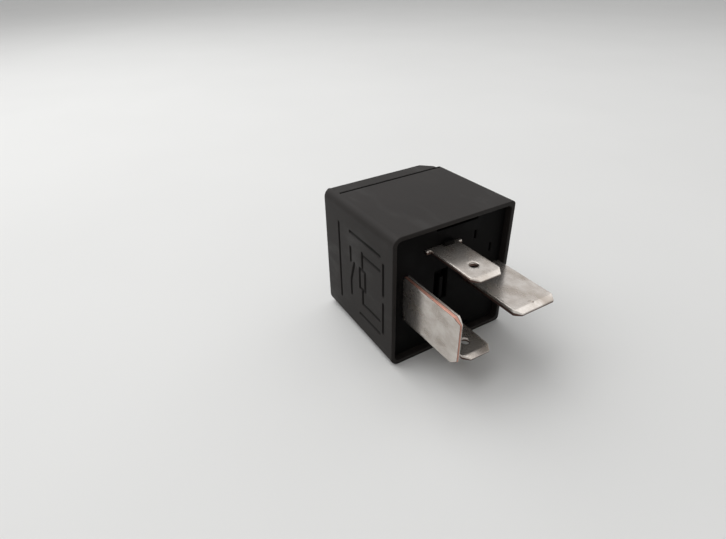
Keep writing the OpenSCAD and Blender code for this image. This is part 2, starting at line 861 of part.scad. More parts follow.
module contact_arm() {
    pad_end = hinge_x - 1.2;
    taper_x = armature_end_x - arm_tip_rim;
    color([0.8, 0.5, 0.3])
        at_rest()
            difference() {
                slab(arm_y, arm_top_y) {
                    polygon([
                        [pad_end, -arm_w / 2], [pad_end, arm_w / 2],
                        [armature_end_x, arm_w / 2], [taper_x, arm_tip_r],
                        [contact_x, arm_tip_r], [contact_x, -arm_tip_r],
                        [taper_x, -arm_tip_r], [armature_end_x, -arm_w / 2]
                    ]);
                    translate([contact_x, 0])
                        circle(arm_tip_r);
                }
                for (x = rivet_places())
                    rod(x, 0, arm_y - bite, arm_top_y + bite, rivet_r + fit);
                rod(contact_x, 0, arm_y - bite, arm_top_y + bite, tip_r / 2 + fit);
            }
}

module arm_rivets() {
    color([0.75, 0.72, 0.68])
        at_rest()
            for (x = rivet_places())
                turned_piece(x)
                    polygon([
                        [0, armature_y + fit], [rivet_r, armature_y + fit],
                        [rivet_r, arm_top_y], [rivet_head_r, arm_top_y],
                        [rivet_head_r, arm_top_y + rivet_head_t / 2],
                        [rivet_head_r * 0.6, arm_top_y + rivet_head_t],
                        [0, arm_top_y + rivet_head_t]
                    ]);
}

module moving_contact() {
    color([0.82, 0.82, 0.84])
        at_rest()
            turned_piece(contact_x)
                polygon([
                    [0, moving_face_y], [tip_r * 0.7, moving_face_y],
                    [tip_r, moving_face_y + 0.2], [tip_r, arm_y],
                    [tip_r / 2, arm_y], [tip_r / 2, arm_top_y],
                    [tip_r * 0.7, arm_top_y], [tip_r * 0.6, arm_top_y + 0.25],
                    [0, arm_top_y + 0.3]
                ]);
}

module fixed_contact() {
    under_y = shelf_y - load_t;
    color([0.82, 0.82, 0.84])
        turned_piece(contact_x)
            polygon([
                [0, under_y - 0.35], [tip_r * 0.6, under_y - 0.3], [tip_r * 0.75, under_y],
                [tip_r / 2, under_y], [tip_r / 2, shelf_y], [tip_r, shelf_y],
                [tip_r, fixed_face_y - 0.2], [tip_r * 0.8, fixed_face_y], [0, fixed_face_y]
            ]);
}

// Folded strip that stands in the base and stops the arm's tip at rest.
module rest_stop() {
    bend_y = stop_lip_y - bend_r;
    color([0.7, 0.7, 0.72])
        sheet(2 * stop_half) {
            translate([stop_x - stop_t, base_in_y - prong_deep + fit])
                square([stop_t, bend_y - base_in_y + prong_deep - fit]);
            bend(stop_x + bend_r, bend_y, bend_r, stop_t, -1, 1);
            translate([stop_x + bend_r, stop_lip_y])
                square([stop_lip_x - stop_x - bend_r, stop_t]);
        }
}

// Closed-coil extension spring with a bent tail through each hook hole.
function spring_path() =
    let (
        low_y = ear_y - hook_gap - spring_wire / 2,
        tail_top = turned([spring_x, armature_y + armature_t])[1],
        high_y = tail_top + hook_gap + spring_wire / 2,
        coil_len = coil_end_y - coil_start_y,
        steps = 6,
        last = steps * floor(coil_len / (1.15 * spring_wire)),
        ease = 3
    )
    smooth(concat(
        [
            [spring_x + hook_len, low_y, ear_z], [spring_x + 0.35, low_y, ear_z],
            [spring_x, low_y + 0.35, ear_z], [spring_x, coil_start_y - 0.9, ear_z]
        ],
        [for (i = [1 - ease:last + ease - 1])
            let (
                turn = 360 * i / steps,
                out = spring_r * min(1, (i + ease) / ease, (last + ease - i) / ease),
                past = i < 0 ? i : i > last ? i - last : 0
            )
            [spring_x + out * cos(turn),
                coil_start_y + coil_len * max(0, min(last, i)) / last + 0.25 * past,
                ear_z + out * sin(turn)]],
        [
            [spring_x, coil_end_y + 0.9, ear_z], [spring_x, high_y - 0.35, ear_z],
            [spring_x + 0.35, high_y, ear_z], [spring_x + hook_len, high_y, ear_z]
        ]
    ), 2);

module return_spring() {
    color([0.6, 0.6, 0.62])
        wire(spring_path(), spring_wire / 2, 6);
}

function bezier(a, b, c, d, t) =
    pow(1 - t, 3) * a + 3 * t * pow(1 - t, 2) * b + 3 * pow(t, 2) * (1 - t) * c + pow(t, 3) * d;

// Braid from the common blade's tab, up beside the yoke and onto the arm.
function braid_path() =
    let (
        top = arm_top_y + braid_r + fit,
        land = turned([braid_land_x, top]),
        end = turned([braid_land_x - braid_pad, top]),
        rise = [braid_x, hinge_y - braid_r],
        over = [braid_x, hinge_y + 3 * braid_r],
        back = land + (land - end) * 0.8,
        steps = 12
    )
    concat(
        [for (y = [-braid_foot, 0, braid_rise]) [braid_x, common_tab_y + y, braid_z]],
        [for (i = [0:steps])
            let (p = bezier(rise, over, back, land, i / steps))
            [p[0], p[1], braid_z]],
        [[end[0], end[1], braid_z]]
    );

module braid() {
    color([0.72, 0.4, 0.22])
        wire(braid_path(), braid_r, 12);
}

placed() cover();
placed() base();
placed() terminal_30();
placed() terminal_87();
placed() terminal_85();
placed() terminal_86();
placed() bobbin();
placed() coil_winding();
placed() coil_lead_85();
placed() coil_lead_86();
placed() core();
placed() yoke();
placed() armature();
placed() contact_arm();
placed() arm_rivets();
placed() moving_contact();
placed() fixed_contact();
placed() rest_stop();
placed() return_spring();
placed() braid();
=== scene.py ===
# %% [markdown]
# # A plug-in automotive relay
# This lesson dresses a small relay: a black moulded cover, four tinned blades,
# and the magnet, spring and contacts that the cover hides. The solids come
# from the CAD part, and here each one gets a finer skin and a real finish.

# %% Load the frame
import math

import bpy
import numpy as np
from mathutils import Matrix, Vector, geometry


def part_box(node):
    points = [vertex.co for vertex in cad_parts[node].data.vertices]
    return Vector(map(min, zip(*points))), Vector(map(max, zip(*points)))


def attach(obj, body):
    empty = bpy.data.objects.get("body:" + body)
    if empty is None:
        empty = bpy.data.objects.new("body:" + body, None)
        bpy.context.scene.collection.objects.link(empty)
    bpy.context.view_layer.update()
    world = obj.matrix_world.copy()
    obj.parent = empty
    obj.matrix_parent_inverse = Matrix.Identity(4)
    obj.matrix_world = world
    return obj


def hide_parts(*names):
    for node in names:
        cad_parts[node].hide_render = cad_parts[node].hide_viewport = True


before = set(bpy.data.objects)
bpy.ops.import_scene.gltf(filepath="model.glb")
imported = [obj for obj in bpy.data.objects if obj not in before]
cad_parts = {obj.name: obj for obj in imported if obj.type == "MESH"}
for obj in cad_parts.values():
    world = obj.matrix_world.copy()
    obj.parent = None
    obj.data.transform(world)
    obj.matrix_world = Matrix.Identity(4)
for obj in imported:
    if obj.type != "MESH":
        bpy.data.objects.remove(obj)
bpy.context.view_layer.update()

# %% [markdown]
# ## One set of axes
# A relay is drawn most easily from its open rim: x runs across it, y runs
# inwards from the rim, and z runs up from the middle of the body. Sizes are in
# millimetres, as on a maker's drawing, and become metres only in the mesh.

# %% The relay's own axes
MM = 0.001
rim_and_floor = np.array(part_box("cover")[0]) / MM
roof = np.array(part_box("cover")[1]) / MM
home = np.array([0.0, rim_and_floor[1], (rim_and_floor[2] + roof[2]) / 2])


def span(node):
    """Lowest and highest corner of a node in the relay's own axes, in millimetres."""
    low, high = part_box(node)
    return np.array(low) / MM - home, np.array(high) / MM - home


def to_frame(points):
    """Points in the relay's own axes, put into the shared frame in metres."""
    return (points + home) * MM


body_w, body_d, body_h = span("cover")[1] - span("cover")[0]
print("cover, mm:", round(body_w, 2), round(body_d, 2), round(body_h, 2))

# %% [markdown]
# ## Sizes that pieces share
# A slot fits a blade, a post stands beside the spool and a rivet fills a hole,
# so a size that several pieces need is written once. Heights in the mechanism
# count from the pole face, the end of the core on which the armature lands.

# %% Shared sizes
LOAD_X = 8
LOAD_HALF = 4.75
LOAD_LEN = 13.7
LOAD_T = 1.2
LOAD_TIP_CUT = 1.3
SWITCHED_X = -9.8
COIL_X = -1.9
COIL_Z = 8.4
COIL_HALF = 3.15
COIL_LEN = 11
COIL_T = 0.8
NECK_HALF = 4
POST_HALF = 0.6
CORE_X = 0.59
POLE_Y = round(span("core")[1][1], 4)
HINGE = (8.4, POLE_Y)
IRON_T = 1.4
YOKE_HALF = 5.51
EAR = (10.1, 4.21)
EAR_END_X = 11.4
EAR_LOW_Z = 2.91
PLATE_END = -4.41
CONTACT_X = -7.52
RIVETS_X = (-2.21, 2.39)
RIVET_HOLE_R = 0.85
WIRE_D = 0.36
WINDING_R = 5.61
print("pole face at", POLE_Y)

# %% [markdown]
# ## Skins
# Every piece is a closed skin of points and faces, worked out as whole arrays.
# Patches that meet share their corner points, so a weld joins them, and the
# sign of the enclosed volume tells whether the faces look outwards.

# %% Gather patches into closed skins
SAME_PLACE = 1e-6


def grid_faces(rows, columns, wrap=False):
    """Four-cornered faces of a grid of points numbered row by row. With wrap,
    the last column joins the first."""
    across = columns if wrap else columns - 1
    row, column = np.meshgrid(np.arange(rows - 1), np.arange(across), indexing="ij")
    start = row * columns + column
    beside = row * columns + (column + 1) % columns
    return np.stack([start, beside, beside + columns, start + columns], -1).reshape(-1, 4)


def gathered(patches):
    """Patches of (points, faces, cut) put together and numbered as one."""
    counts = np.cumsum([0] + [len(points) for points, _, _ in patches])
    points = np.vstack([points for points, _, _ in patches])
    faces = np.vstack([faces + count for (_, faces, _), count in zip(patches, counts)])
    cut = np.concatenate([np.broadcast_to(cut, len(p)) for p, _, cut in patches])
    return points, faces, cut


def closed(*patches):
    """Welds patches into one skin with its faces outwards. Volume is a sixth of
    the sum of a . (b x c) over the triangles."""
    points, faces, cut = gathered(patches)
    _, first, where = np.unique(np.round(points / SAME_PLACE).astype(np.int64), axis=0,
                                return_index=True, return_inverse=True)
    points, cut, faces = points[first], cut[first], where.ravel()[faces]
    a, b, c, d = (points[faces[:, i]] for i in range(4))
    volume = np.sum(a * np.cross(b, c)) + np.sum(a * np.cross(c, d))
    if volume < 0:
        faces = faces[:, ::-1]
    return points, faces, cut


def triangles(faces):
    """Three-cornered faces written with a repeated corner, as the grids have."""
    return np.column_stack([faces, faces[:, 0]])


def make_piece(name, skins, finish, body="relay_body", crease=38):
    """Puts closed skins into one mesh that rides on a body and stands for the
    CAD node of the same name. Its slot has the finish's name, and crease is the
    sharpest edge that is shaded smooth."""
    points, faces, cut = gathered(skins)
    doubled = faces == np.roll(faces, -1, axis=1)
    sizes = 4 - doubled.sum(1)
    whole = sizes >= 3
    corners = faces[whole][~doubled[whole]]
    sizes = sizes[whole]
    mesh = bpy.data.meshes.new(name)
    mesh.vertices.add(len(points))
    mesh.vertices.foreach_set("co", to_frame(points).astype(np.float32).ravel())
    mesh.loops.add(len(corners))
    mesh.loops.foreach_set("vertex_index", corners.astype(np.int32))
    mesh.polygons.add(len(sizes))
    starts = np.concatenate([[0], np.cumsum(sizes)[:-1]])
    mesh.polygons.foreach_set("loop_start", starts.astype(np.int32))
    mesh.update(calc_edges=True)
    mesh.attributes.new("cut", "FLOAT", "POINT").data.foreach_set(
        "value", cut.astype(np.float32))
    mesh.polygons.foreach_set("use_smooth", np.ones(len(sizes), bool))
    mesh.set_sharp_from_angle(angle=math.radians(crease))
    mesh.materials.append(finish.material)
    piece = bpy.data.objects.new(name + "_skin", mesh)
    bpy.context.scene.collection.objects.link(piece)
    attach(piece, body)
    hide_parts(name)
    low, high = span(name)
    reach = np.abs(np.concatenate([points.min(0) - low, points.max(0) - high])).max()
    print(f"{name}: {len(sizes)} faces, {reach:.2f} mm off the solid's box")


# %% [markdown]
# ## Finishes in plain arithmetic
# A finish is a recipe of shader nodes. Written out node by node it is hard to
# read, so a small class wraps a socket: adding or multiplying two of them adds
# the Math node, and everything else goes through one method.

# %% Shader arithmetic
class Feel:
    """The output of a shader node, which ordinary arithmetic works on."""

    def __init__(self, finish, socket):
        self.finish = finish
        self.socket = socket

    def math(self, operation, *values):
        inputs = dict(enumerate(values))
        return self.finish.add("ShaderNodeMath", {"operation": operation}, inputs)

    def __add__(self, other):
        return self.math("ADD", self, other)

    def __sub__(self, other):
        return self.math("SUBTRACT", self, other)

    def __rsub__(self, other):
        return self.math("SUBTRACT", other, self)

    def __mul__(self, other):
        return self.math("MULTIPLY", self, other)

    __radd__ = __add__
    __rmul__ = __mul__

    def between(self, low, high):
        """0 below low, 1 above high, and a smooth rise from one to the other."""
        settings = {"interpolation_type": "SMOOTHSTEP"}
        inputs = {"Value": self, "From Min": low, "From Max": high}
        return self.finish.add("ShaderNodeMapRange", settings, inputs)


class Recipe:
    """The nodes of a material or of the world, and one method that adds to them."""

    def __init__(self, tree):
        self.nodes = tree.nodes
        self.links = tree.links

    def join(self, value, socket):
        if isinstance(value, Feel):
            self.links.new(value.socket, socket)
        else:
            socket.default_value = value

    def add(self, kind, settings=None, inputs=None, output=0):
        """A node of this kind: its settings first, then the values of its inputs."""
        node = self.nodes.new(kind)
        for name, value in (settings or {}).items():
            setattr(node, name, value)
        for name, value in (inputs or {}).items():
            self.join(value, node.inputs[name])
        return Feel(self, node.outputs[output])


class Finish(Recipe):
    """One material, with the name of its slot. The constants go straight to its
    shader's own sockets."""

    def __init__(self, name, **constants):
        self.name = name
        self.material = bpy.data.materials.new(name)
        self.material.use_nodes = True
        super().__init__(self.material.node_tree)
        self.shader = self.nodes["Principled BSDF"]
        for socket, value in constants.items():
            self.feed(socket.replace("_", " "), value)

    def feed(self, socket, value):
        self.join(value, self.shader.inputs[socket])

    def place(self, scale=(1, 1, 1)):
        """Object coordinates, stretched by scale."""
        where = self.add("ShaderNodeTexCoord", output="Object")
        return self.add("ShaderNodeMapping", {"vector_type": "POINT"},
                        {"Vector": where, "Scale": scale})

    def grain(self, size, where=None, detail=2.0, rough=0.5):
        """Cloudy noise from 0 to 1 whose blobs are about size millimetres across."""
        inputs = {"Vector": where or self.place(), "Scale": 1 / (size * MM),
                  "Detail": detail, "Roughness": rough}
        return self.add("ShaderNodeTexNoise", None, inputs)

    def mark(self, name):
        """A value that the mesh carries at its points."""
        return self.add("ShaderNodeAttribute", {"attribute_name": name}, output="Fac")

    def tint(self, factor, low, high):
        """A colour between low, where factor is 0, and high, where it is 1."""
        inputs = {0: factor, 6: low, 7: high}
        return self.add("ShaderNodeMix", {"data_type": "RGBA"}, inputs, output=2)

    def relief(self, height, depth, under=None):
        """Bumps of that depth in millimetres where height goes from 0 to 1."""
        inputs = {"Height": height, "Distance": depth * MM, "Strength": 1.0}
        if under:
            inputs["Normal"] = under
        bump = self.add("ShaderNodeBump", None, inputs)
        self.feed("Normal", bump)
        return bump


def colour(red, green, blue):
    return (red, green, blue, 1.0)


# %% [markdown]
# ## The black plastics
# The cover is moulded in a glass-filled polyester against a spark-eroded tool,
# which leaves a fine matt grain. A flat black would look like a hole, so the
# colour drifts a little, handling has polished faint patches, and the grain is
# a shallow bump. The base is a smoother black nylon, coloured far blacker than the
# cover, which paints the shade of the recess inside the rim.

# %% Moulded plastics
def moulded(name, dark, light, gloss, rough, grain_depth, shine=0.5):
    """Matt plastic: drifting colour, rubbed patches, flow marks, fine grain, and
    painted shade in the grooves that the mark called cut gives."""
    finish = Finish(name, IOR=1.5, Specular_IOR_Level=shine)
    drift = finish.grain(7, detail=3)
    fleck = finish.grain(0.16, detail=1).between(0.62, 0.8)
    painted_shade = finish.mark("cut")
    skin = finish.tint(drift * 0.7 + fleck * 0.3, dark, light)
    # The mark called cut darkens the colour to a tenth there: painted shade in the grooves and in
    # the line before the band.
    finish.feed("Base Color", finish.tint(painted_shade, skin, colour(*(c * 0.1 for c in dark[:3]))))
    rubbed = finish.grain(4.5, finish.place((1, 0.35, 1)), detail=4).between(0.5, 0.75)
    finish.feed("Roughness", rough - (rough - gloss) * rubbed + painted_shade * 0.3)
    flow = finish.relief(finish.grain(3), 0.02)
    finish.relief(finish.grain(0.13, detail=3, rough=0.6), grain_depth, flow)
    return finish


cover_plastic = moulded("cover_plastic", colour(0.0135, 0.0112, 0.0100),
                        colour(0.0215, 0.0182, 0.0164), 0.44, 0.58, 0.014, 0.2)
# The base's far blacker colour is partly its own and partly painted shade for the recess inside
# the rim.
base_plastic = moulded("base_plastic", colour(0.0028, 0.0026, 0.0025),
                       colour(0.0055, 0.0052, 0.005), 0.45, 0.6, 0.006, 0.06)
bobbin_plastic = moulded("bobbin_plastic", colour(0.62, 0.56, 0.40),
                         colour(0.74, 0.68, 0.52), 0.34, 0.46, 0.006)

# %% [markdown]
# ## Sheet metal
# The blades are stamped from copper strip that was tinned before it was cut,
# so the flat faces are silver and the sheared edges show bare copper. The punch
# drags a smear of tin over the near half of each edge. The mesh carries a mark
# called cut, which grows on the far half, and the finish paints copper there.

# %% Metals
def dull(metal):
    """The brownish colour that fingers leave on a metal."""
    return colour(metal[0] * 0.62, metal[1] * 0.57, metal[2] * 0.52)


def rolled(name, face, shade, dark_edge, fresh_edge, smooth, rough, along=(6, 1, 6), metal=1.0,
           stain=0.3):
    """Strip metal: rolling lines along it, blotches, smudges, and bare metal on its cuts.
    Where the mark called cut is near 0.5 the cut takes the dark edge colour, and where it
    is near 1 it is fresh. A little less than full metal gives the haze of old tin."""
    finish = Finish(name, Metallic=metal)
    lines = finish.grain(1.1, finish.place(along), detail=4, rough=0.65)
    blotch = finish.grain(2.6, detail=3)
    worn = (lines * 0.35 + blotch * 0.65).between(0.35, 0.7)
    smudge = finish.grain(3.4, finish.place((1, 0.6, 1)), detail=3).between(0.42, 0.8) * stain
    smear = finish.grain(0.5, finish.place((1, 0.3, 1)), detail=3) * 0.4
    cut = finish.mark("cut") + 0.2 - smear
    bare = cut.between(0.15, 0.45)
    sheet = finish.tint(smudge, finish.tint(worn, face, shade), dull(shade))
    sheet = finish.tint(bare, sheet, dark_edge)
    finish.feed("Base Color", finish.tint(cut.between(0.65, 1.0), sheet, fresh_edge))
    finish.feed("Roughness", smooth + (rough - smooth) * worn + bare * 0.15 + smudge * 0.12)
    finish.relief(lines + bare * 0.6, 0.0012)
    return finish


# On the tinned copper the dark edge colour is painted shade: it darkens the cut edges of the
# blades that lie flat, where shadow falls.
tinned_copper = rolled("tinned_copper", colour(0.69, 0.645, 0.60), colour(0.53, 0.48, 0.435),
                       colour(0.10, 0.058, 0.048), colour(0.60, 0.31, 0.24), 0.2, 0.27,
                       metal=0.82, stain=0.75)
plated_iron = rolled("plated_iron", colour(0.60, 0.57, 0.47), colour(0.50, 0.47, 0.36),
                     colour(0.40, 0.38, 0.33), colour(0.45, 0.43, 0.38), 0.28, 0.42)
soft_iron = rolled("soft_iron", colour(0.55, 0.55, 0.56), colour(0.44, 0.44, 0.45),
                   colour(0.45, 0.45, 0.45), colour(0.5, 0.5, 0.5), 0.25, 0.4, (1, 12, 1))
spring_copper = rolled("spring_copper", colour(0.76, 0.44, 0.26), colour(0.62, 0.33, 0.18),
                       colour(0.55, 0.30, 0.18), colour(0.66, 0.36, 0.22), 0.22, 0.38, (1, 6, 6))
contact_silver = rolled("contact_silver", colour(0.78, 0.78, 0.78), colour(0.62, 0.61, 0.60),
                        colour(0.6, 0.6, 0.6), colour(0.7, 0.7, 0.7), 0.2, 0.36, (3, 3, 3))


def drawn(name, face, shade, rough, coat=0.0, along=(1, 1, 1)):
    """Round wire: drawing lines, a tarnish that comes and goes, a clear enamel."""
    finish = Finish(name, Metallic=1.0, Coat_Roughness=0.12)
    tarnish = finish.grain(1.4, detail=4)
    lines = finish.grain(0.16, finish.place(along), detail=2)
    worn = (tarnish * 0.6 + lines * 0.4).between(0.3, 0.7)
    finish.feed("Base Color", finish.tint(worn, face, shade))
    finish.feed("Roughness", rough + worn * 0.12)
    finish.feed("Coat Weight", coat - tarnish * coat * 0.3)
    finish.relief(lines, 0.003)
    return finish


enamelled_wire = drawn("enamelled_wire", colour(0.55, 0.17, 0.06), colour(0.38, 0.10, 0.035),
                       0.24, coat=0.8)
spring_steel = drawn("spring_steel", colour(0.50, 0.50, 0.51), colour(0.36, 0.36, 0.38), 0.22)
copper_braid = drawn("copper_braid", colour(0.76, 0.38, 0.22), colour(0.50, 0.22, 0.11), 0.25)

# %% [markdown]
# ## Outlines
# A moulded or stamped part starts as a flat outline. Corners are rounded with
# arcs, long edges get points along them, and an inset of the outline carries
# the rounded rim.

# %% Flat outlines
def unit(vectors):
    return vectors / np.linalg.norm(vectors, axis=-1, keepdims=True)


def rounded(corners, radius, steps=4):
    """A closed outline with its corners turned into arcs. Each arc's middle lies
    on the corner's bisector, radius / cos(half the turn) away from the corner."""
    corners = np.asarray(corners, float)
    radius = np.broadcast_to(np.asarray(radius, float), len(corners))[:, None, None]
    ahead = unit(np.roll(corners, -1, axis=0) - corners)[:, None]
    behind = unit(np.roll(corners, 1, axis=0) - corners)[:, None]
    half = 0.5 * np.arccos(np.clip((-ahead * behind).sum(-1, keepdims=True), -1, 1))
    reach = radius * np.tan(half)
    middle = corners[:, None] + unit(ahead + behind + 1e-12) * radius / np.cos(half)
    start, end = corners[:, None] + behind * reach, corners[:, None] + ahead * reach
    share = np.linspace(0, 1, steps + 1)[None, :, None]
    chord = start + (end - start) * share
    return (middle + unit(chord - middle + 1e-12) * radius).reshape(-1, 2)


def box_outline(x0, x1, y0, y1, radius=0.0, steps=4):
    corners = [[x0, y0], [x1, y0], [x1, y1], [x0, y1]]
    return rounded(corners, max(radius, 1e-3), steps)


def circle_outline(x, y, radius, sides=40):
    turn = 2 * np.pi * np.arange(sides) / sides
    return np.column_stack([x + radius * np.cos(turn), y + radius * np.sin(turn)])


def with_points(loop, spacing):
    """The same outline with points no further apart than spacing."""
    following = np.roll(loop, -1, axis=0)
    pieces = np.ceil(np.linalg.norm(following - loop, axis=1) / spacing).astype(int)
    pieces = np.maximum(pieces, 1)
    edge = np.repeat(np.arange(len(loop)), pieces)
    step = np.arange(len(edge)) - np.repeat(np.cumsum(pieces) - pieces, pieces)
    share = (step / pieces[edge])[:, None]
    return loop[edge] * (1 - share) + following[edge] * share


def inward(loop):
    """How an outline's points move for an inset of 1: the sum of the normals of
    both edges, over 1 plus their product."""
    ahead = unit(np.roll(loop, -1, axis=0) - loop)
    behind = np.roll(ahead, 1, axis=0)
    left = np.column_stack([-ahead[:, 1], ahead[:, 0]])
    right = np.column_stack([-behind[:, 1], behind[:, 0]])
    return (left + right) / (1 + (left * right).sum(1, keepdims=True))


def turning(loop):
    """Twice an outline's area, positive where it runs anticlockwise."""
    x, y = loop.T
    return np.sum(x * np.roll(y, -1) - y * np.roll(x, -1))


def inside(points, loops):
    """Which points lie inside the loops, by counting the edges crossed to the right."""
    crossed = np.zeros(len(points), int)
    for loop in loops:
        a, b = loop, np.roll(loop, -1, axis=0)
        x, y = points[:, :1], points[:, 1:]
        spans = (a[:, 1] > y) != (b[:, 1] > y)
        rise = np.where(b[:, 1] == a[:, 1], 1, b[:, 1] - a[:, 1])
        at = a[:, 0] + (y - a[:, 1]) * (b[:, 0] - a[:, 0]) / rise
        crossed += (spans & (x < at)).sum(1)
    return crossed % 2 == 1


# %% [markdown]
# ## Stamped plates
# A stamped plate is a flat field with holes, and a rim that runs round every
# edge. The rim is a profile carried along the outline: a quarter circle, the
# sheared wall, and another quarter circle. The wall's upper half is smeared and
# its lower half is bare. The field is filled with even triangles, so that it
# can be bevelled or folded afterwards.

# %% Stamped plate
def stamped(outline, thick, edge, spacing, holes=(), rows=(), spots=(), corner_steps=3):
    """A plate about w = 0 in u, v, w, in which u and v are the outline's axes.
    rows are values of v that the triangles keep as straight lines, and spots are
    arrays of points that they keep as corners."""
    loops = [with_points(outline if turning(outline) > 0 else outline[::-1], spacing)]
    loops += [with_points(hole if turning(hole) < 0 else hole[::-1], spacing)
              for hole in holes]
    turn = np.linspace(0, np.pi / 2, corner_steps + 1)
    inset = edge * (1 - np.sin(turn))
    height = thick / 2 - edge * (1 - np.cos(turn))
    inset = np.concatenate([inset, [0, 0], inset[::-1]])
    height = np.concatenate([height, [0.15 * thick, 0], -height[::-1]])
    cut = np.concatenate([0 * turn, [0, 1], np.sin(turn)[::-1]])
    flat = np.vstack(loops)
    drift = np.vstack([inward(loop) for loop in loops])
    rings = flat[None] + drift[None] * inset[:, None, None]
    rim = np.dstack([rings, np.broadcast_to(height[:, None, None], rings.shape[:2] + (1,))])
    counts = np.cumsum([0] + [len(loop) for loop in loops])
    rim_faces = [grid_faces(len(inset), len(loop), wrap=True)[:, ::-1] for loop in loops]
    total = len(flat)
    for i, (loop, faces) in enumerate(zip(loops, rim_faces)):
        row, column = faces // len(loop), faces % len(loop)
        rim_faces[i] = row * total + counts[i] + column
    field, faces = filled(rings[0], counts, spacing, rows, spots)
    top = np.column_stack([field, np.full(len(field), thick / 2)])
    under = top * [1, 1, -1]
    inner = len(field) - total
    points = np.vstack([rim.reshape(-1, 3), top[total:], under[total:]])
    last = (len(inset) - 1) * total
    after = len(inset) * total
    top_faces = np.where(faces < total, faces, faces - total + after)
    under_faces = np.where(faces < total, faces + last, faces - total + after + inner)
    cuts = np.concatenate([np.repeat(cut, total), np.zeros(2 * inner)])
    return [points, np.vstack(rim_faces + [triangles(top_faces), triangles(under_faces)[:, ::-1]]),
            cuts]


def within(faces, borders, field, loops):
    """Which triangles belong to the plate. One that has a border edge does if it
    runs along it the border's way, and any other does if its middle lies inside."""
    count = len(field)
    start, end = faces, np.roll(faces, -1, axis=1)
    known = borders[:, 0] * count + borders[:, 1]
    along = np.isin(start * count + end, known).any(1)
    against = np.isin(end * count + start, known).any(1)
    return along | (inside(field[faces].mean(1), loops) & ~against)


def filled(ring, counts, spacing, rows, spots=()):
    """Even triangles between outlines: points on a staggered grid, on the
    straight rows and at the given spots, joined by a constrained Delaunay
    triangulation. Four corners far around keep the outline off its edge."""
    loops = [ring[a:b] for a, b in zip(counts[:-1], counts[1:])]
    low, high = ring.min(0), ring.max(0)
    across, along = (np.maximum(np.ceil((high - low) / spacing), 2)).astype(int)
    u, v = np.meshgrid(np.linspace(low[0], high[0], across + 1),
                       np.linspace(low[1], high[1], along + 1))
    u = u + (np.arange(along + 1) % 2)[:, None] * (u[0, 1] - u[0, 0]) / 2
    even = np.column_stack([u.ravel(), v.ravel()])
    kept_rows = [np.column_stack([u[0], np.full(across + 1, row)]) for row in rows]
    for row in rows:
        even = even[np.abs(even[:, 1] - row) > 0.45 * spacing]
    even = np.vstack([even] + kept_rows)
    even = even[inside(even, loops)]
    taken = np.vstack([ring] + list(spots))
    away = np.linalg.norm(even[:, None] - taken[None], axis=2).min(1)
    field = np.vstack([taken, even[away > 0.45 * spacing]])
    borders = [np.column_stack([np.arange(a, b), np.roll(np.arange(a, b), -1)])
               for a, b in zip(counts[:-1], counts[1:])]
    around = np.array([low - 5, [high[0] + 5, low[1] - 5], high + 5, [low[0] - 5, high[1] + 5]])
    result = geometry.delaunay_2d_cdt(np.vstack([field, around]).tolist(),
                                      np.vstack(borders).tolist(), [], 0, 1e-7)
    source = np.array([origin[0] for origin in result[3]])
    faces = source[np.array(result[2])]
    faces = faces[(faces < len(field)).all(1)]
    return field, faces[within(faces, np.vstack(borders), field, loops)]


# %% [markdown]
# ## Turned pieces and wires
# Anything round about an axis is a profile of radius and height spun round.
# A wire is a circle carried along a path: each ring stands square to the path
# and keeps the last ring's side, so the skin never twists.

# %% Turned piece and wire
def turned(profile, x, z=0.0, sides=72):
    """Spins points of (radius, y) about an axis along y through x and z."""
    profile = np.asarray(profile, float)
    turn = 2 * np.pi * np.arange(sides) / sides
    radius, height = profile[:, :1], profile[:, 1:]
    points = np.stack([x + radius * np.cos(turn), np.broadcast_to(height, radius.shape)
                       + 0 * turn, z + radius * np.sin(turn)], -1)
    return closed((points.reshape(-1, 3), grid_faces(len(profile), sides, wrap=True), 0.0))


def smooth_path(points, steps):
    """A Catmull-Rom curve through chosen points, steps points for each stretch."""
    points = np.asarray(points, float)
    padded = np.vstack([points[:1], points, points[-1:]])
    a, b, c, d = (padded[i:len(padded) - 3 + i, None] for i in range(4))
    t = (np.arange(steps) / steps)[None, :, None]
    curve = b + (c - a) * t / 2 + (2 * a - 5 * b + 4 * c - d) * t ** 2 / 2
    curve = curve + (3 * b - a - 3 * c + d) * t ** 3 / 2
    return np.vstack([curve.reshape(-1, 3), points[-1:]])


def wire(path, radius, sides=12):
    """A round skin of that radius along a path, closed by a disc at each end."""
    heading = unit(np.gradient(path, axis=0))
    side = np.zeros_like(path)
    last = np.cross(heading[0], [0.31, 0.23, 1.0])
    for i, along in enumerate(heading):
        last = last - (last @ along) * along
        side[i] = last = last / np.linalg.norm(last)
    other = np.cross(heading, side)
    turn = (2 * np.pi * np.arange(sides) / sides)[None, :, None]
    rings = path[:, None] + radius * (np.cos(turn) * side[:, None] + np.sin(turn) * other[:, None])
    caps = np.repeat(path[[0, -1], None], sides, axis=1)
    rings = np.vstack([caps[:1], rings, caps[1:]])
    return closed((rings.reshape(-1, 3), grid_faces(len(rings), sides, wrap=True), 0.0))

# %% [markdown]
# ## The cover
# The real cover is one thin moulding, open at the rim, with four rounded long
# edges, walls that lean in to leave the mould, a lower band at the closed end
# and a circuit diagram sunk in one side. A box with bevels can't follow all of
# that, so the skin is one grid: columns run round the outline, and rows run
# from the bottom of the cavity, over the rim, to the closed end.

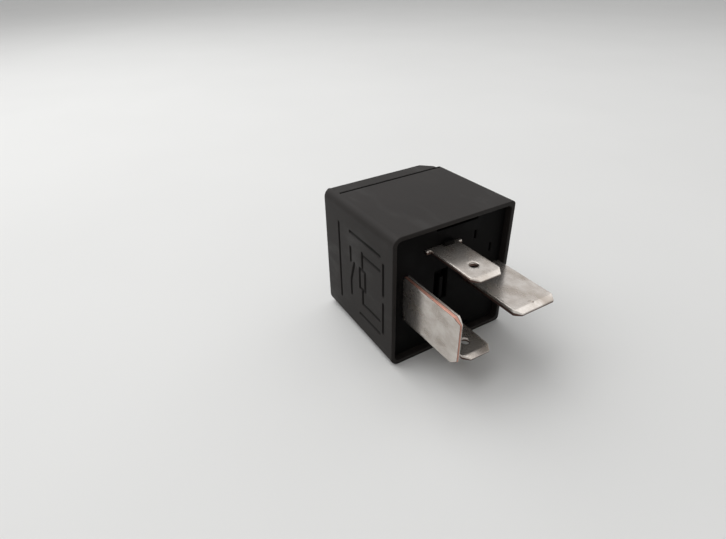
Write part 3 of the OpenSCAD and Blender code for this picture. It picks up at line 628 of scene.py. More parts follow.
# %% Cover: sizes and columns
DRAFT = 0.35
LONG_R = 1.8
FAR_R = 0.9
MOUTH_R = 0.95
END_R = 0.5
RIM_R = 0.14
BAND_Y = 21.7
BAND_STEP = 0.5
GROOVE_W = 0.9
GROOVE_DEEP = 0.25
LINE_FROM, LINE_TO = BAND_Y - 0.65, BAND_Y - 0.2
LINE_DEEP = 0.2
DIAGRAM_DEEP = 0.25
MOUTH_WALL = 0.85
SIDE_WALL = 1.4
MOUTH_END = 4.05
ROOM_END = 24.2
POCKET_X = (-1.0, 3.4)
POCKET_Y = (2.4, 3.8)
POCKET_DEEP = 0.4
CORNER_CUT = 3
END_WEDGE = body_w / 2 - DRAFT - CORNER_CUT + body_d
ROOM_WEDGE = END_WEDGE - SIDE_WALL * math.sqrt(2)


def rise(value, start, width=0.08):
    """0 before start and 1 after it, with a smooth wall of that width between."""
    share = np.clip((value - start) / width + 0.5, 0, 1)
    return share * share * (3 - 2 * share)


def lower_of(a, b, soft=0.15):
    """The smaller of two values, with the crease between them rounded off."""
    share = np.clip(0.5 + (b - a) / (2 * soft), 0, 1)
    return b + (a - b) * share - soft * share * (1 - share)


def cover_columns(fine=0.15, coarse=0.5):
    """Columns round the cover: the middle of each corner's arc as signs in x and
    z, how far along the sides the column is from -1 to 1, and its direction."""
    band_wall = np.radians([8.0, 9.0, 10.2, 11.2])
    arcs = np.concatenate([np.linspace(0, np.pi / 2, 9)[1:-1], band_wall,
                           np.pi / 2 - band_wall])
    arcs = np.sort(arcs)
    pocket_wall = np.add.outer(POCKET_X, [-0.04, 0.04]).ravel() / (body_w / 2 - LONG_R)
    along_x = np.linspace(-1, 1, int(body_w / coarse) + 1)
    along_x = np.sort(np.concatenate([along_x, pocket_wall]))
    along_z = np.linspace(-1, 1, int(body_h / coarse) + 1)
    dense = np.linspace(-1, 1, int(body_h / fine) + 1)
    parts = []
    for start, run, sign_x, sign_z in [(0, along_z, 1, None), (1, -along_x, None, 1),
                                       (2, -dense, -1, None), (3, along_x, None, -1)]:
        turn = np.full(len(run), start * np.pi / 2)
        x = run if sign_x is None else np.full(len(run), float(sign_x))
        z = run if sign_z is None else np.full(len(run), float(sign_z))
        parts.append(np.column_stack([x, z, turn]))
        corner = np.column_stack([np.full(len(arcs), x[-1]), np.full(len(arcs), z[-1]),
                                  start * np.pi / 2 + arcs])
        parts.append(corner)
    return np.vstack(parts)


def cover_rows(fine=0.15):
    """Rows of (y, distance from the nominal side, corner radius, outside or not),
    from the bottom of the cavity round the rim to the closed end."""
    quarter = np.linspace(0, np.pi / 2, 5)
    end = np.linspace(0, np.pi / 2, 9)
    room_y = np.array([ROOM_END, 23.6, 23, 22.5, 22, 21.5, 20, 16, 12, 8, MOUTH_END])
    pocket_y = np.add.outer(POCKET_Y[::-1], [0.04, -0.04]).ravel()
    mouth_y = np.concatenate([[MOUTH_END], pocket_y, [1.4, RIM_R]])
    wall_y = np.arange(RIM_R, body_d - END_R, fine)
    wall = np.array([-0.06, -0.02, 0.02, 0.06])
    for step_y in (LINE_FROM, LINE_TO, BAND_Y, BAND_Y + GROOVE_W):
        wall_y = wall_y[np.abs(wall_y - step_y) > 0.11]
        wall_y = np.sort(np.concatenate([wall_y, step_y + wall]))
    rows = [
        np.column_stack([room_y, SIDE_WALL + DRAFT * room_y / body_d, 0 * room_y + MOUTH_R]),
        np.column_stack([mouth_y, 0 * mouth_y + MOUTH_WALL, 0 * mouth_y + MOUTH_R]),
        np.column_stack([RIM_R * (1 - np.sin(quarter)),
                         MOUTH_WALL - RIM_R * (1 - np.cos(quarter)),
                         MOUTH_R + RIM_R * (1 - np.cos(quarter))])[1:],
        np.column_stack([RIM_R * (1 - np.cos(quarter)), RIM_R * (1 - np.sin(quarter)),
                         LONG_R - RIM_R * (1 - np.sin(quarter))]),
        np.column_stack([wall_y, DRAFT * wall_y / body_d, 0 * wall_y + LONG_R])[1:],
        np.column_stack([body_d - END_R * (1 - np.sin(end)),
                         DRAFT + END_R * (1 - np.cos(end)), 0 * end + LONG_R]),
    ]
    outside = np.repeat([0, 0, 0, 1, 1, 1], [len(part) for part in rows])
    return np.column_stack([np.vstack(rows), outside])


# %% [markdown]
# The diagram is the maker-neutral circuit of such a relay: two rails, the
# switch between them and the coil. The tool cuts each line as a groove with
# round ends, so the depth depends only on the distance to the nearest line.

# %% Cover: circuit diagram
def diagram_lines():
    """Grooves of the diagram as (y, z, y, z), from shares of the depth and height."""
    low, high, gap = -0.31 * body_h, 0.31 * body_h, 0.08 * body_h
    inner, outer = 0.76 * body_d, 0.12 * body_d
    switch, coil = 0.585 * body_d, 0.41 * body_d
    lead = outer + 1.2
    lines = [
        (inner, low, inner, high),
        (outer, low * 0.9, outer, -0.04 * body_h), (outer, 0.03 * body_h, outer, high * 0.85),
        (lead, high, switch, high), (lead, low, coil + 1.2, low),
        (switch, high * 0.6, switch, gap), (switch - 1.4, gap, switch, -gap),
        (switch, -gap, switch, low * 0.65), (coil, high * 0.7, coil, gap),
        (coil, -gap, coil, low * 0.65),
        (coil - 1, -gap, coil - 1, gap), (coil + 1, -gap, coil + 1, gap),
        (coil - 1, -gap, coil + 1, -gap), (coil - 1, gap, coil + 1, gap),
        (lead, high * 0.65, coil, high * 0.65), (lead, low * 0.65, coil, low * 0.65),
    ]
    return np.array(lines)


def groove_depth(y, z, width=0.6, wall=0.13):
    """Depth of the diagram's grooves at y and z: full within the line's half
    width of the nearest line, and none past a sloping wall."""
    lines = diagram_lines()
    start, run = lines[:, :2], lines[:, 2:] - lines[:, :2]
    here = np.stack([y, z], -1)[..., None, :]
    share = ((here - start) * run).sum(-1) / (run * run).sum(-1)
    nearest = start + run * np.clip(share, 0, 1)[..., None]
    distance = np.linalg.norm(here - nearest, axis=-1).min(-1)
    return DIAGRAM_DEEP * (1 - rise(distance, width / 2, wall))


# %% Cover: one skin
def cover_points(rows, columns):
    """Each row's outline, a rounded rectangle, bent by the wedge at the closed
    corner, lowered in the band, and pressed in at the diagram and the latch pockets.
    The second result is painted shade, in the grooves and in the line before the band."""
    y, off, radius, outside = (rows[:, None, i] for i in range(4))
    side_x, side_z, turn = columns.T
    radius = radius - (LONG_R - FAR_R) * outside * (side_x > 0)
    middle_x = side_x * (body_w / 2 - off - radius)
    middle_z = side_z * (body_h / 2 - off - radius)
    groove = rise(y, BAND_Y) * rise(-y, -BAND_Y - GROOVE_W) * GROOVE_DEEP
    band_off = DRAFT * BAND_Y / body_d + BAND_STEP * rise(y, BAND_Y) + groove
    three_sides = rise(middle_x + radius * np.cos(turn), LONG_R - body_w / 2, 0.06)
    stepped = outside * three_sides * (y > BAND_Y - 0.1)
    line = outside * three_sides * rise(y, LINE_FROM) * rise(-y, -LINE_TO)
    radius = radius - stepped * (-lower_of(-off, -band_off, 0.08) - off) - line * LINE_DEEP
    x = middle_x + radius * np.cos(turn)
    z = middle_z + radius * np.sin(turn)
    y = y + 0 * x
    for here, wedge, start, end in ((1, END_WEDGE, 22.7, body_d), (0, ROOM_WEDGE, 20, ROOM_END)):
        share = np.maximum(y - start, 0) / (end - start) * (outside == here)
        y = y - share * (end - lower_of(np.full(y.shape, end), wedge - x))
    pocket = rise(y, POCKET_Y[0]) * rise(-y, -POCKET_Y[1])
    pocket = pocket * rise(x, POCKET_X[0]) * rise(-x, -POCKET_X[1]) * POCKET_DEEP
    z = z + np.sign(z) * (1 - outside) * pocket * (np.abs(side_z) == 1)
    face = outside * (turn == np.pi) * (np.abs(side_x) == 1)
    depth = face * groove_depth(y, z)
    return np.stack([x + depth, y, z], -1), np.maximum(0.7 * depth / DIAGRAM_DEEP, line)


rows = cover_rows()
columns = cover_columns()
# The second result is painted shade, carried on the skin as the mark called cut.
grid, painted_shade = cover_points(rows, columns)
cover_grid = (grid.reshape(-1, 3), grid_faces(len(rows), len(columns), wrap=True), painted_shade.ravel())


def lid(ring, wedge, level, flip):
    """Flat end inside a ring of points, folded down along the wedge."""
    flat = ring[:, [2, 0]] * [-1, 1]
    fold = wedge - level
    field, faces = filled(flat, [0, len(flat)], 0.8, [fold - 0.2, fold, fold + 0.2])
    heights = lower_of(np.full(len(field), level), wedge - field[:, 1])
    points = np.column_stack([field[:, 1], heights, -field[:, 0]])
    points[:len(ring)] = ring
    faces = triangles(faces)
    return points, faces[:, ::-1] if flip else faces, 0.0


cover_skin = closed(cover_grid, lid(grid[-1], END_WEDGE, body_d, False),
                    lid(grid[0], ROOM_WEDGE, ROOM_END, True))
make_piece("cover", [cover_skin], cover_plastic, crease=30)

# %% [markdown]
# ## The base
# The base is a plate that snaps into the rim. It is a plain moulding full of
# slots, so it is stamped like the metal parts, in two layers: the front one
# has the blank fifth slot in it, and the back one closes that slot.

# %% Base
SLOT = 0.05
BASE_HALF_X = 12.8
BASE_HALF_Z = 13.05
FACE_Y = 1.4
FRONT_T = 1.7
BACK_T = 0.9
LATCH_X = 1.2
MARKS = [(9.9, 4.55), (5.7, 8.55)]


def upright(points, y):
    """Lays a plate's u, v and w along x, z and y, with its middle at depth y."""
    return np.column_stack([points[:, 0], points[:, 2] + y, points[:, 1]])


def brick(x0, x1, y0, y1, z0, z1, edge=0.08, spacing=1.5):
    """A small block with rounded edges."""
    outline = box_outline(x0, x1, z0, z1, edge, 2)
    points, faces, cut = stamped(outline, y1 - y0, edge, spacing, corner_steps=2)
    return closed((upright(points, (y0 + y1) / 2), faces, cut * 0))


def strip_slot(x, z, half_x, half_z):
    """A slot with a little room round a strip of those half sizes."""
    half_x, half_z = half_x + SLOT, half_z + SLOT
    return box_outline(x - half_x, x + half_x, z - half_z, z + half_z, 0.1, 2)


def base_slots():
    """The slots for the four blades and the slits of the two latches."""
    slots = [strip_slot(LOAD_X, 0, NECK_HALF, LOAD_T / 2),
             strip_slot(SWITCHED_X, 0, LOAD_T / 2, NECK_HALF)]
    for side in (-1, 1):
        slots.append(strip_slot(COIL_X, side * COIL_Z, NECK_HALF, COIL_T / 2))
        slit = sorted([side * (BASE_HALF_Z - 0.7), side * (BASE_HALF_Z - 1.25)])
        slots.append(box_outline(LATCH_X - 4.75, LATCH_X + 4.75, *slit, 0.2, 3))
    return slots


def block_at(x, z, half_x, half_z, y0, y1, edge):
    """A small block about a place on the base."""
    return brick(x - half_x, x + half_x, y0, y1, z - half_z, z + half_z, edge)


base_outline = box_outline(-BASE_HALF_X, BASE_HALF_X, -BASE_HALF_Z, BASE_HALF_Z, 0.85, 8)
blank = box_outline(COIL_X - 1.6, COIL_X + 1.6, -3.4, 3.4, 0.2, 3)
marks = [box_outline(x - 0.25, x + 0.25, z - 0.9, z + 0.9, 0.1, 2) for x, z in MARKS]
front = stamped(base_outline, FRONT_T, 0.1, 0.9, base_slots() + [blank] + marks)
back = stamped(base_outline, BACK_T, 0.05, 0.9, base_slots())
base_skins = [closed((upright(front[0], FACE_Y + FRONT_T / 2), front[1], front[2] * 0)),
              closed((upright(back[0], FACE_Y + FRONT_T + BACK_T / 2), back[1], back[2] * 0)),
              brick(COIL_X, COIL_X + 0.8, 1.7, 3.2, -3.5, 1.4)]
base_skins += [block_at(x, z, 0.26, 0.91, 1.9, 3.2, 0.02) for x, z in MARKS]
base_skins += [brick(-2.25, 0.05, 0.5, 3.9, z, z + 0.8, 0.12) for z in (8.85, -7.95)]
base_skins += [block_at(LATCH_X, side * 13.1, 2, 0.2, 2.6, 3.6, 0.12) for side in (-1, 1)]
make_piece("base", base_skins, base_plastic)

# %% [markdown]
# ## The blades
# Each blade is stamped flat: cut corners at the tip, a coined bevel that
# leads it into the socket, shoulders that stop on the base and a neck that
# passes through it. The bevel is a thinning of the finished plate.

# %% Blades
BEVEL = 1.1


def coined(points, tip):
    """Thins a blade to two fifths over the bevel's length before its tip."""
    share = np.clip((points[:, 1] - tip) / BEVEL, 0, 1)
    share = lower_of(share, np.ones(len(share)), 0.06)
    return points * np.column_stack([0 * share + 1, 0 * share + 1, 0.4 + 0.6 * share])


def blade_tip(half, length, tip_cut):
    slant = half - 0.7 * tip_cut
    return [[-half, -length + tip_cut], [-slant, -length], [slant, -length],
            [half, -length + tip_cut]]


def flat_blade(piece, x, z):
    """Puts a plate from u, v and w to x, y and z."""
    points, faces, cut = piece
    return closed((points + [x, 0, z], faces, cut))


load_tip = blade_tip(LOAD_HALF, LOAD_LEN, LOAD_TIP_CUT)
common = load_tip + [[LOAD_HALF, FACE_Y], [NECK_HALF, FACE_Y], [NECK_HALF, 7.6], [1, 7.6],
                     [1, 4], [-NECK_HALF, 4], [-NECK_HALF, FACE_Y], [-LOAD_HALF, FACE_Y]]
DIMPLE = (-0.3, -12.1)


def dimpled(points, radius=0.5, deep=0.2):
    """Sinks the upper face inside a circle, with a steep wall at its edge."""
    away = np.hypot(points[:, 0] - DIMPLE[0], points[:, 1] - DIMPLE[1])
    down = deep * (1 - rise(away, radius - 0.04)) * (points[:, 2] > 0)
    return points - np.column_stack([0 * down, 0 * down, down])


# Halving the cut mark gives the edges of terminal_30 and the coil blades the dark edge colour:
# painted shade.
SHADED_EDGE_CUT = 0.5
dimple_rings = [circle_outline(*DIMPLE, radius, 24) for radius in (0.52, 0.48, 0.43, 0.2)]
bevel_rows = [BEVEL - LOAD_LEN, BEVEL - LOAD_LEN + 0.3]
common_blade = stamped(rounded(common, 0.12, 3), LOAD_T, 0.11, 0.55, [], bevel_rows,
                       dimple_rings)
common_blade[0] = dimpled(coined(common_blade[0], -LOAD_LEN))
common_blade[2] = common_blade[2] * SHADED_EDGE_CUT
make_piece("terminal_30", [flat_blade(common_blade, LOAD_X, 0)], tinned_copper)


def folded(points, start, middle, radius):
    """Folds a plate that runs along v through a right angle towards +x. Past
    start, v is an arc of that radius about middle, and then a straight run."""
    side, along, out = points.T
    turn = np.clip((along - start) / radius, 0, np.pi / 2)
    before = np.minimum(along - start, 0)
    after = np.maximum(along - start - radius * np.pi / 2, 0)
    x = middle[0] - (radius + out) * np.cos(turn) + after
    y = middle[1] + (radius + out) * np.sin(turn) + before
    return np.column_stack([x, y, side])


bend_start = POLE_Y - 2.25
bend_end = bend_start + np.pi / 2
shelf_end = bend_end + 2.98
switched = load_tip + [[LOAD_HALF, FACE_Y], [NECK_HALF, FACE_Y], [NECK_HALF, 4], [3, 4],
                       [3, shelf_end], [-3, shelf_end], [-3, 4], [-NECK_HALF, 4],
                       [-NECK_HALF, FACE_Y], [-LOAD_HALF, FACE_Y]]
contact_hole = circle_outline(0, bend_end + 1.28, RIVET_HOLE_R, 32)
bend_rows = list(np.linspace(bend_start, bend_end, 8))
switched_blade = stamped(rounded(switched, 0.12, 3), LOAD_T, 0.11, 0.55, [contact_hole],
                         bevel_rows + bend_rows)
switched_blade[0] = coined(switched_blade[0] * [1, 1, -1], -LOAD_LEN)
switched_blade[0] = folded(switched_blade[0], bend_start, (SWITCHED_X + 1, bend_start), 1)
make_piece("terminal_87", [closed(switched_blade)], tinned_copper)

side = [[COIL_HALF, 0.9], [NECK_HALF, 0.9], [NECK_HALF, 4], [1.5, 4], [1.5, 5.2],
        [POST_HALF, 5.2], [POST_HALF, 9]]
coil_outline = blade_tip(COIL_HALF, COIL_LEN, 1.4) + side + [[-u, v] for u, v in side[::-1]]
coil_blade = stamped(rounded(coil_outline, 0.12, 3), COIL_T, 0.09, 0.5,
                     [circle_outline(0, -6.8, 0.85, 48)],
                     [BEVEL - COIL_LEN, BEVEL - COIL_LEN + 0.3])
coil_blade[0] = coined(coil_blade[0], -COIL_LEN)
coil_blade[2] = coil_blade[2] * SHADED_EDGE_CUT
for node, z in [("terminal_85", COIL_Z), ("terminal_86", -COIL_Z)]:
    make_piece(node, [flat_blade(coil_blade, COIL_X, z)], tinned_copper)

# %% [markdown]
# ## The coil
# The coil is a nylon spool, wound with enamelled wire. On a real coil the top
# layer shows one ridge per turn, and the ridges climb like a screw thread. A
# grid whose rows follow that screw gets the ridges exactly, where a stack of
# rings would not.

# %% Spool and winding
SPOOL_Y = 5.75
SPOOL_LEN = POLE_Y - 0.9 - SPOOL_Y
FLANGE_T = 0.9
FLANGE_HALF = 6.11
BORE_R = 2.855
TUBE_R = 3.555


def ring(inner, outer, y0, y1, sides=72, edge=0.1):
    """A tube between two radii about the core's axis."""
    profile = [[inner, y0], [outer - edge, y0], [outer, y0 + edge], [outer, y1 - edge],
               [outer - edge, y1], [inner, y1], [inner, y0]]
    return turned(profile, CORE_X, sides=sides)


def flange(y, notches):
    """A square flange, with a notch at two edges where the leads pass."""
    half, near, far, deep = FLANGE_HALF, -3.19, -1.79, 4.91
    corners = [[-half, -half], [half, -half], [half, half], [-half, half]]
    radii = [1.0] * 4
    if notches:
        low = [[near, -half], [near, -deep], [far, -deep], [far, -half]]
        high = [[x, -z] for x, z in reversed(low)]
        corners = corners[:1] + low + corners[1:3] + high + corners[3:]
        radii = [1.0] + [0.2] * 4 + [1.0] * 2 + [0.2] * 4 + [1.0]
    plate = stamped(rounded(corners, radii, 4), FLANGE_T, 0.12, 0.8,
                    [circle_outline(0, 0, BORE_R, 48)])
    return closed((upright(plate[0], y) + [CORE_X, 0, 0], plate[1], plate[2] * 0))


def winding(inner=TUBE_R + 0.05, steps=8, sides=90):
    """One ridge for each turn. The radius drops from the crown of the wire as a
    circle does, and y climbs one pitch in each turn about the axis."""
    start = SPOOL_Y + FLANGE_T + 0.1
    room = SPOOL_LEN - 2 * FLANGE_T - 0.2
    turns = int(room / WIRE_D)
    row, column = np.meshgrid(np.arange(-steps - 1, (turns + 1) * steps + 1),
                              np.arange(sides + 1), indexing="ij")
    climb = (row * sides + column * steps) / (steps * sides)
    y = start + climb * room / turns
    across = (row % steps) / steps - 0.5
    crown = np.sqrt(0.25 - 0.92 * across ** 2) - 0.5
    turn = 2 * np.pi * (column % sides) / sides
    lay = 0.03 * np.sin(2 * turn + 0.9 * y) * np.sin(1.7 * y)
    radius = WINDING_R - 0.03 + WIRE_D * crown + lay
    radius = np.where((y < start) | (y > start + room), inner, radius)
    y = np.clip(y, start, start + room)
    points = np.stack([CORE_X + radius * np.cos(turn), y, radius * np.sin(turn)], -1)
    spin = 2 * np.pi * np.arange(sides) / sides
    bore = np.array([[[CORE_X + inner * np.cos(a), end, inner * np.sin(a)] for a in spin]
                     for end in (start, start + room)])
    outside = (points.reshape(-1, 3), grid_faces(*points.shape[:2]), 0.0)
    inside_wall = (bore.reshape(-1, 3), grid_faces(2, sides, wrap=True)[:, ::-1], 0.0)
    return closed(outside, inside_wall)


spool = [flange(SPOOL_Y + FLANGE_T / 2, True),
         flange(SPOOL_Y + SPOOL_LEN - FLANGE_T / 2, False),
         ring(BORE_R, TUBE_R, SPOOL_Y + 0.2, SPOOL_Y + SPOOL_LEN - 0.2)]
make_piece("bobbin", spool, bobbin_plastic)
make_piece("coil_winding", [winding()], enamelled_wire, crease=50)

# %% [markdown]
# Each end of the wire leaves the top layer, passes the flange's notch and is
# wrapped round the post of its coil blade.

# %% Coil leads
def lead_path(side):
    """From the winding to the post, then three turns that climb the post."""
    x, d = COIL_X, WIRE_D
    lead_r = d / 2
    wrap_r = math.hypot(POST_HALF, COIL_T / 2) + lead_r + 0.05
    off_z = math.sqrt(WINDING_R ** 2 - (CORE_X - x) ** 2) + 2 * lead_r
    off_y = SPOOL_Y + FLANGE_T + 2.5 * d
    wrap_y = 6.0
    away = [[x + 5 * d, off_y + 0.3 * d, off_z + 1.5 * d],
            [x + 3 * d, off_y, off_z + d],
            [x + d / 2, off_y - d, off_z + 0.8 * d],
            [x, SPOOL_Y + FLANGE_T / 2, FLANGE_HALF - 0.6],
            [x - 0.3 * d, wrap_y + 0.3 * d, COIL_Z - wrap_r - 0.8 * d]]
    turn = 2 * np.pi * np.arange(1, 19) / 6
    wraps = np.column_stack([x + wrap_r * np.sin(turn),
                             wrap_y + 2.6 * lead_r * turn / (2 * np.pi),
                             COIL_Z - wrap_r * np.cos(turn)])
    return smooth_path(np.vstack([away, wraps]), 8) * [1, 1, side]


for node, side in [("coil_lead_85", 1), ("coil_lead_86", -1)]:
    make_piece(node, [wire(lead_path(side), WIRE_D / 2, 14)], enamelled_wire, crease=60)

# %% [markdown]
# ## The iron circuit
# Core, yoke and armature carry the magnetism in a loop. The core is a turned
# pin staked through the yoke's foot, with a wide pole face. The yoke is one
# folded strip, and the armature rocks on the edge of its leg.

# %% Core and yoke
core_profile = [[0, 4.1], [1.2, 4.1], [1.35, 4.22], [2.2, 4.15], [2.7, 4.12], [2.8, 4.2],
                [2.8, 4.25], [2.305, 4.25], [2.305, SPOOL_Y], [2.805, SPOOL_Y],
                [2.805, POLE_Y - 0.85], [4.3, POLE_Y - 0.85], [4.4, POLE_Y - 0.7527],
                [4.4, POLE_Y - 0.2], [4.36, POLE_Y - 0.1027], [4.2, POLE_Y - 0.0127],
                [4.1, POLE_Y], [0, POLE_Y]]
make_piece("core", [turned(core_profile, CORE_X, sides=96)], soft_iron)

foot_len = 12.12
bend_r = 1.1
bend_x = 6.6
bend_y = 6.1
foot_bend = bend_r * np.pi / 2
leg_top = foot_len + foot_bend + POLE_Y - bend_y
yoke_plate = stamped(box_outline(-YOKE_HALF, YOKE_HALF, 0, leg_top, 0.25, 3), IRON_T, 0.12,
                     0.9, [circle_outline(0, CORE_X + 5.52, 2.355, 48)],
                     list(np.linspace(foot_len, foot_len + foot_bend, 8)))
yoke_plate[0] = folded(yoke_plate[0], foot_len, (bend_y, bend_x), bend_r)[:, [1, 0, 2]]
ear_hole = circle_outline(*EAR, 0.45, 24)
ear = stamped(rounded([[7.5, EAR_LOW_Z], [EAR_END_X, EAR_LOW_Z], [EAR_END_X, 5.5],
                       [7.5, 5.5]],
                      [0.2, 0.5, 0.5, 0.2], 4), IRON_T, 0.12, 0.6, [ear_hole])
yoke_skins = [closed(yoke_plate), closed((upright(ear[0], 9.3), ear[1], ear[2]))]
yoke_skins += [brick(4.6, 6.6, 2.9, 4.4, z - 0.7, z + 0.7, 0.12) for z in (-3.61, 3.61)]
make_piece("yoke", yoke_skins, plated_iron)

# %% Rest stop
STOP_BEND_Y = 22.4
STOP_BEND_R = 0.75
stop_bend_end = STOP_BEND_Y + STOP_BEND_R * np.pi / 2
stop_plate = stamped(box_outline(-2, 2, 2.65, stop_bend_end + 1.48, 0.25, 3), 0.7, 0.08, 0.7,
                     [], list(np.linspace(STOP_BEND_Y, stop_bend_end, 7)))
stop_plate[0] = folded(stop_plate[0], STOP_BEND_Y, (-10.6, STOP_BEND_Y), STOP_BEND_R)
make_piece("rest_stop", [closed(stop_plate)], plated_iron)

# %% [markdown]
# ## The clapper
# The armature, the copper arm riveted on it and the silver contact at its tip
# move as one. They are made as if the relay were closed, and then swung back
# by the rest angle about the edge of the yoke's leg.

# %% Clapper
REST = math.radians(4)
ARM_Y = POLE_Y + 1.7
ARM_TOP = ARM_Y + 0.2
ARM_HALF = 3.2


def at_rest(points):
    """Swings points back about the hinge, from closed to the rest position."""
    x, y = points[:, 0] - HINGE[0], points[:, 1] - HINGE[1]
    return np.column_stack([HINGE[0] + x * math.cos(REST) + y * math.sin(REST),
                            HINGE[1] - x * math.sin(REST) + y * math.cos(REST),
                            points[:, 2]])


def lying(piece, y):
    """A plate laid in x and z at depth y, swung to its place at rest."""
    points, faces, cut = piece
    return closed((at_rest(upright(points, y)), faces, cut))


def resting(skin):
    points, faces, cut = skin
    return at_rest(points), faces, cut


rivet_holes = [circle_outline(x, 0, RIVET_HOLE_R, 32) for x in RIVETS_X]
clapper_outline = [[PLATE_END, -4.7], [5.5, -4.7], [5.5, -YOKE_HALF], [HINGE[0], -YOKE_HALF],
                   [HINGE[0], EAR_LOW_Z], [EAR_END_X, EAR_LOW_Z], [EAR_END_X, YOKE_HALF],
                   [5.5, YOKE_HALF], [5.5, 4.7], [PLATE_END, 4.7]]
clapper_radii = [0.8, 0.2, 0.3, 0.15, 0.2, 0.5, 0.5, 0.3, 0.2, 0.8]
armature_plate = stamped(rounded(clapper_outline, clapper_radii, 4), IRON_T, 0.12, 0.8,
                         rivet_holes + [ear_hole])
make_piece("armature", [lying(armature_plate, POLE_Y + 0.75)], plated_iron, "clapper")

round_tip = np.linspace(np.pi / 2, 3 * np.pi / 2, 25)
tip_half = 2.6
arm_outline = np.vstack([[[PLATE_END, -ARM_HALF], [7.0, -ARM_HALF], [7.2, 0.2 - ARM_HALF],
                          [7.2, ARM_HALF - 0.2], [7.0, ARM_HALF], [PLATE_END, ARM_HALF],
                          [PLATE_END - 1, tip_half]],
                         np.column_stack([CONTACT_X + tip_half * np.cos(round_tip),
                                          tip_half * np.sin(round_tip)]),
                         [[PLATE_END - 1, -tip_half]]])
arm_plate = stamped(arm_outline, 0.4, 0.06, 0.5,
                    rivet_holes + [circle_outline(CONTACT_X, 0, RIVET_HOLE_R, 32)])
make_piece("contact_arm", [lying(arm_plate, ARM_Y)], spring_copper, "clapper")

# %% Rivets and contacts
def dome(radius, start, height, steps=7):
    """Profile points of a rounded head: the height falls as a circle's does."""
    share = np.linspace(1, 0, steps)
    return [[radius * s, start + height * math.sqrt(1 - 0.999 * s * s)] for s in share]


rivet = [[0, POLE_Y + 0.1], [0.8, POLE_Y + 0.1], [0.8, ARM_TOP], [1.3, ARM_TOP]]
rivet += dome(1.3, ARM_TOP + 0.0373, 0.4627)
rivet_skins = [resting(turned(rivet, x, sides=48)) for x in RIVETS_X]
make_piece("arm_rivets", rivet_skins, soft_iron, "clapper")

face_y = POLE_Y + 0.4
moving_tip = [[0, face_y], [0.5, face_y + 0.004], [1.0, face_y + 0.0163],
              [1.3, face_y + 0.0373], [1.5, face_y + 0.0973], [1.6, face_y + 0.2173],
              [1.6, face_y + 1.1], [0.8, face_y + 1.1], [0.8, ARM_TOP], [1.12, ARM_TOP]]
moving_tip += dome(1.12, ARM_TOP + 0.0073, 0.29)
make_piece("moving_contact", [resting(turned(moving_tip, CONTACT_X, sides=64))],
           contact_silver, "clapper")

tip_y = POLE_Y + 0.35
fixed_tip = [[0, tip_y - 2.5527], [0.96, tip_y - 2.5], [1.2, tip_y - 2.2], [0.8, tip_y - 2.2],
             [0.8, tip_y - 1], [1.6, tip_y - 1], [1.6, tip_y - 0.2127],
             [1.54, tip_y - 0.0927], [1.35, tip_y - 0.0227], [1.1, tip_y], [0, tip_y]]
make_piece("fixed_contact", [turned(fixed_tip, CONTACT_X, sides=64)], contact_silver)

# %% [markdown]
# ## Spring and braid
# The closed-coil spring pulls the armature's ear towards the yoke's. The braid
# carries the load current past the hinge, so it is woven from fine wires: two
# sets of bundles wind opposite ways and pass over and under each other.

# %% Return spring
def spring_path(steps=20, turns=16):
    """Tail through the yoke's ear, a close helix, and a tail through the
    armature's ear. The helix opens from the axis over half a turn at each end."""
    x, z = EAR
    radius = 1.2
    low, high, start = 8.2, POLE_Y + 1.7279, 11.0
    length = POLE_Y - 0.95 - start
    share = np.arange(-steps // 3, steps * turns + steps // 3 + 1) / steps
    grown = np.minimum(1, np.minimum(share + 0.5, turns + 0.5 - share) * 2)
    past = np.minimum(share, 0) + np.maximum(share - turns, 0)
    helix = np.column_stack([x + radius * grown * np.cos(2 * np.pi * share),
                             start + length * np.clip(share, 0, turns) / turns + 1.5 * past,
                             z + radius * grown * np.sin(2 * np.pi * share)])
    lower = smooth_path([[x + 0.8, low, z], [x + 0.35, low, z], [x, low + 0.35, z],
                         [x, start - 0.9, z], helix[0]], 6)
    upper = smooth_path([helix[-1], [x, start + length + 0.9, z], [x, high - 0.35, z],
                         [x + 0.35, high, z], [x + 0.8, high, z]], 6)
    return np.vstack([lower[:-1], helix, upper[1:]])


make_piece("return_spring", [wire(spring_path(), 0.2, 12)], spring_steel, crease=60)

# %% Braid
def braid_path(spacing=0.12):
    """Up beside the tab, over in a Bezier curve, and down onto the arm's end."""
    top = np.array([[7.0 - 2.2, POLE_Y + 2.7, 0], [7.0, POLE_Y + 2.7, 0]])
    end, land = at_rest(top)[:, :2]
    back = land + (land - end) * 0.8
    tab_x = 10.35
    rise_end = np.array([tab_x, POLE_Y - 0.75])
    over = np.array([tab_x, POLE_Y + 2.25])
    t = np.linspace(0, 1, 60)[:, None]
    curve = ((1 - t) ** 3 * rise_end + 3 * t * (1 - t) ** 2 * over
             + 3 * t ** 2 * (1 - t) * back + t ** 3 * land)
    flat = np.vstack([[[tab_x, y] for y in (4.6, 7.6, 11.6)], curve, end])
    length = np.concatenate([[0], np.cumsum(np.linalg.norm(np.diff(flat, axis=0), axis=1))])
    even = np.linspace(0, length[-1], int(length[-1] / spacing))
    path = np.column_stack([np.interp(even, length, flat[:, 0]),
                            np.interp(even, length, flat[:, 1]),
                            np.full(len(even), -1.4)])
    return path, even


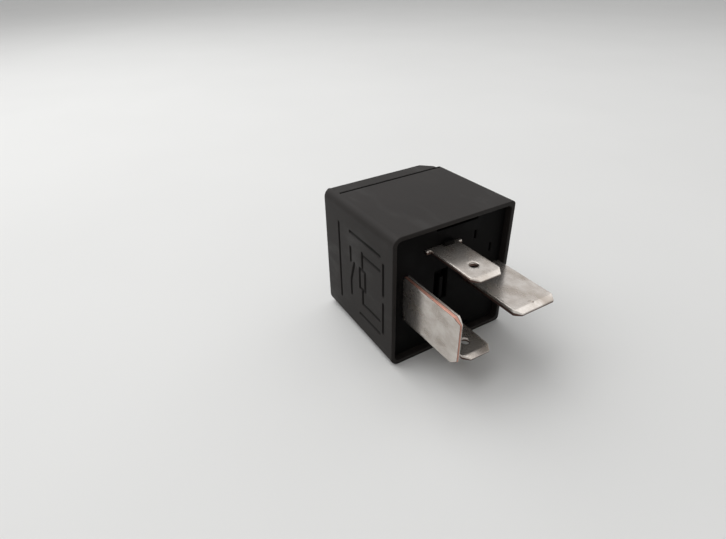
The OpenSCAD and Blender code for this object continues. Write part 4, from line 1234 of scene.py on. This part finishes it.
def woven(bundles=8, wires=3, radius=0.6, lift=0.07, fine=0.055, lay=3.2):
    """Wires that wind about the path one way and the other. Where two bundles
    cross, a cosine of the crossing angle lifts one and sinks the other."""
    path, run = braid_path()
    heading = unit(np.gradient(path, axis=0))
    side = np.array([0, 0, 1.0])
    other = np.cross(heading, side)
    skins = [wire(path[::2], radius - 0.1, 16)]
    for way in (-1, 1):
        for bundle in range(bundles):
            for strand in range(wires):
                shift = (strand - (wires - 1) / 2) * 2.1 * fine / radius
                turn = way * 2 * np.pi * run / lay + 2 * np.pi * bundle / bundles + shift
                over = lift * way * np.cos(bundles * turn / 2 + np.pi * bundle)
                out = (radius + over)[:, None]
                centre = path + out * (np.cos(turn)[:, None] * side
                                       + np.sin(turn)[:, None] * other)
                skins.append(wire(centre, fine, 6))
    return skins


make_piece("braid", woven(), copper_braid, crease=60)

# %% [markdown]
# ## Floor, light and camera
# A large soft light hangs above, and the pale surroundings fill the shadows,
# so the finishes come out about as they are written.

# %% Floor, light and camera
def pale_floor():
    """Pale paper, which passes less of its light on to the relay than it shows."""
    finish = Finish("floor_paper", Roughness=0.7, IOR=1.3)
    paper = finish.tint(finish.grain(60), colour(0.76, 0.76, 0.75), colour(0.80, 0.80, 0.79))
    passed_on = finish.add("ShaderNodeLightPath", output="Is Diffuse Ray")
    finish.feed("Base Color", finish.tint(passed_on, paper, colour(0.3, 0.3, 0.3)))
    bpy.ops.mesh.primitive_plane_add(size=3, location=(0, 0, 0))
    floor = bpy.context.object
    floor.name = "studio_floor"
    floor.data.materials.append(finish.material)


def soft_light(name, place, size, power, aim=(0, 0, 0.01)):
    """A square area light of that size in metres, turned towards aim."""
    lamp = bpy.data.lights.new(name, "AREA")
    lamp.shape = "SQUARE"
    lamp.size = size
    lamp.energy = power
    light = bpy.data.objects.new(name, lamp)
    light.location = place
    light.rotation_euler = (Vector(aim) - Vector(place)).to_track_quat("-Z", "Y").to_euler()
    bpy.context.scene.collection.objects.link(light)


def pale_surroundings(low, high, towards, seen):
    """Light from all round: the level rises from low to high towards a side. The
    camera sees one even level, and so do metal and glass in their reflections."""
    world = bpy.data.worlds.new("surroundings")
    bpy.context.scene.world = world
    world.use_nodes = True
    world.node_tree.nodes.clear()
    sky = Recipe(world.node_tree)
    where = sky.add("ShaderNodeTexCoord", output="Generated")
    facing = sky.add("ShaderNodeVectorMath", {"operation": "DOT_PRODUCT"},
                     {0: where, 1: Vector(towards).normalized()}, output="Value")
    level = sky.add("ShaderNodeMapRange", {"interpolation_type": "SMOOTHSTEP"},
                    {"Value": facing, "From Min": -0.9, "From Max": 0.9,
                     "To Min": low, "To Max": high})
    glow = sky.add("ShaderNodeBackground", None, {"Strength": level})
    paper = sky.add("ShaderNodeBackground", None,
                    {"Strength": seen, "Color": colour(1, 1, 1)})
    camera, glossy, through = (sky.add("ShaderNodeLightPath", output=f"Is {kind} Ray")
                               for kind in ("Camera", "Glossy", "Transmission"))
    shown = sky.add("ShaderNodeMixShader", None,
                    {0: camera + glossy + through, 1: glow, 2: paper})
    sky.join(shown, sky.nodes.new("ShaderNodeOutputWorld").inputs["Surface"])


def aimed_camera():
    """Above and to the left of the blades, looking down a third of the way."""
    yaw, pitch, roll = (math.radians(angle) for angle in (30.43, 32.93, -1.3))
    ahead = Vector((math.sin(yaw), math.cos(yaw), 0))
    right = Vector((math.cos(yaw), -math.sin(yaw), 0))
    up = ahead * math.sin(pitch) + Vector((0, 0, math.cos(pitch)))
    look = ahead * math.cos(pitch) - Vector((0, 0, math.sin(pitch)))
    across = right * math.cos(roll) + up * math.sin(roll)
    upward = up * math.cos(roll) - right * math.sin(roll)
    turn = Matrix((across, upward, -look)).transposed()
    camera = bpy.data.objects.new("camera", bpy.data.cameras.new("camera"))
    camera.data.lens = 25.6
    camera.data.sensor_width = 36
    camera.data.clip_start = 0.005
    stand = Matrix.Translation((-0.0551, -0.06636, 0.06976))
    camera.matrix_world = stand @ turn.to_4x4()
    bpy.context.scene.collection.objects.link(camera)
    bpy.context.scene.camera = camera


pale_floor()
soft_light("overhead", (-0.12, 0.22, 0.40), 0.5, 1.5)
soft_light("right_hand", (0.31, 0.03, 0.34), 0.32, 0.19)
pale_surroundings(0.06, 0.75, (-0.5, 0.6, 0.65), 0.82)
aimed_camera()
bpy.context.scene.view_settings.view_transform = "Standard"
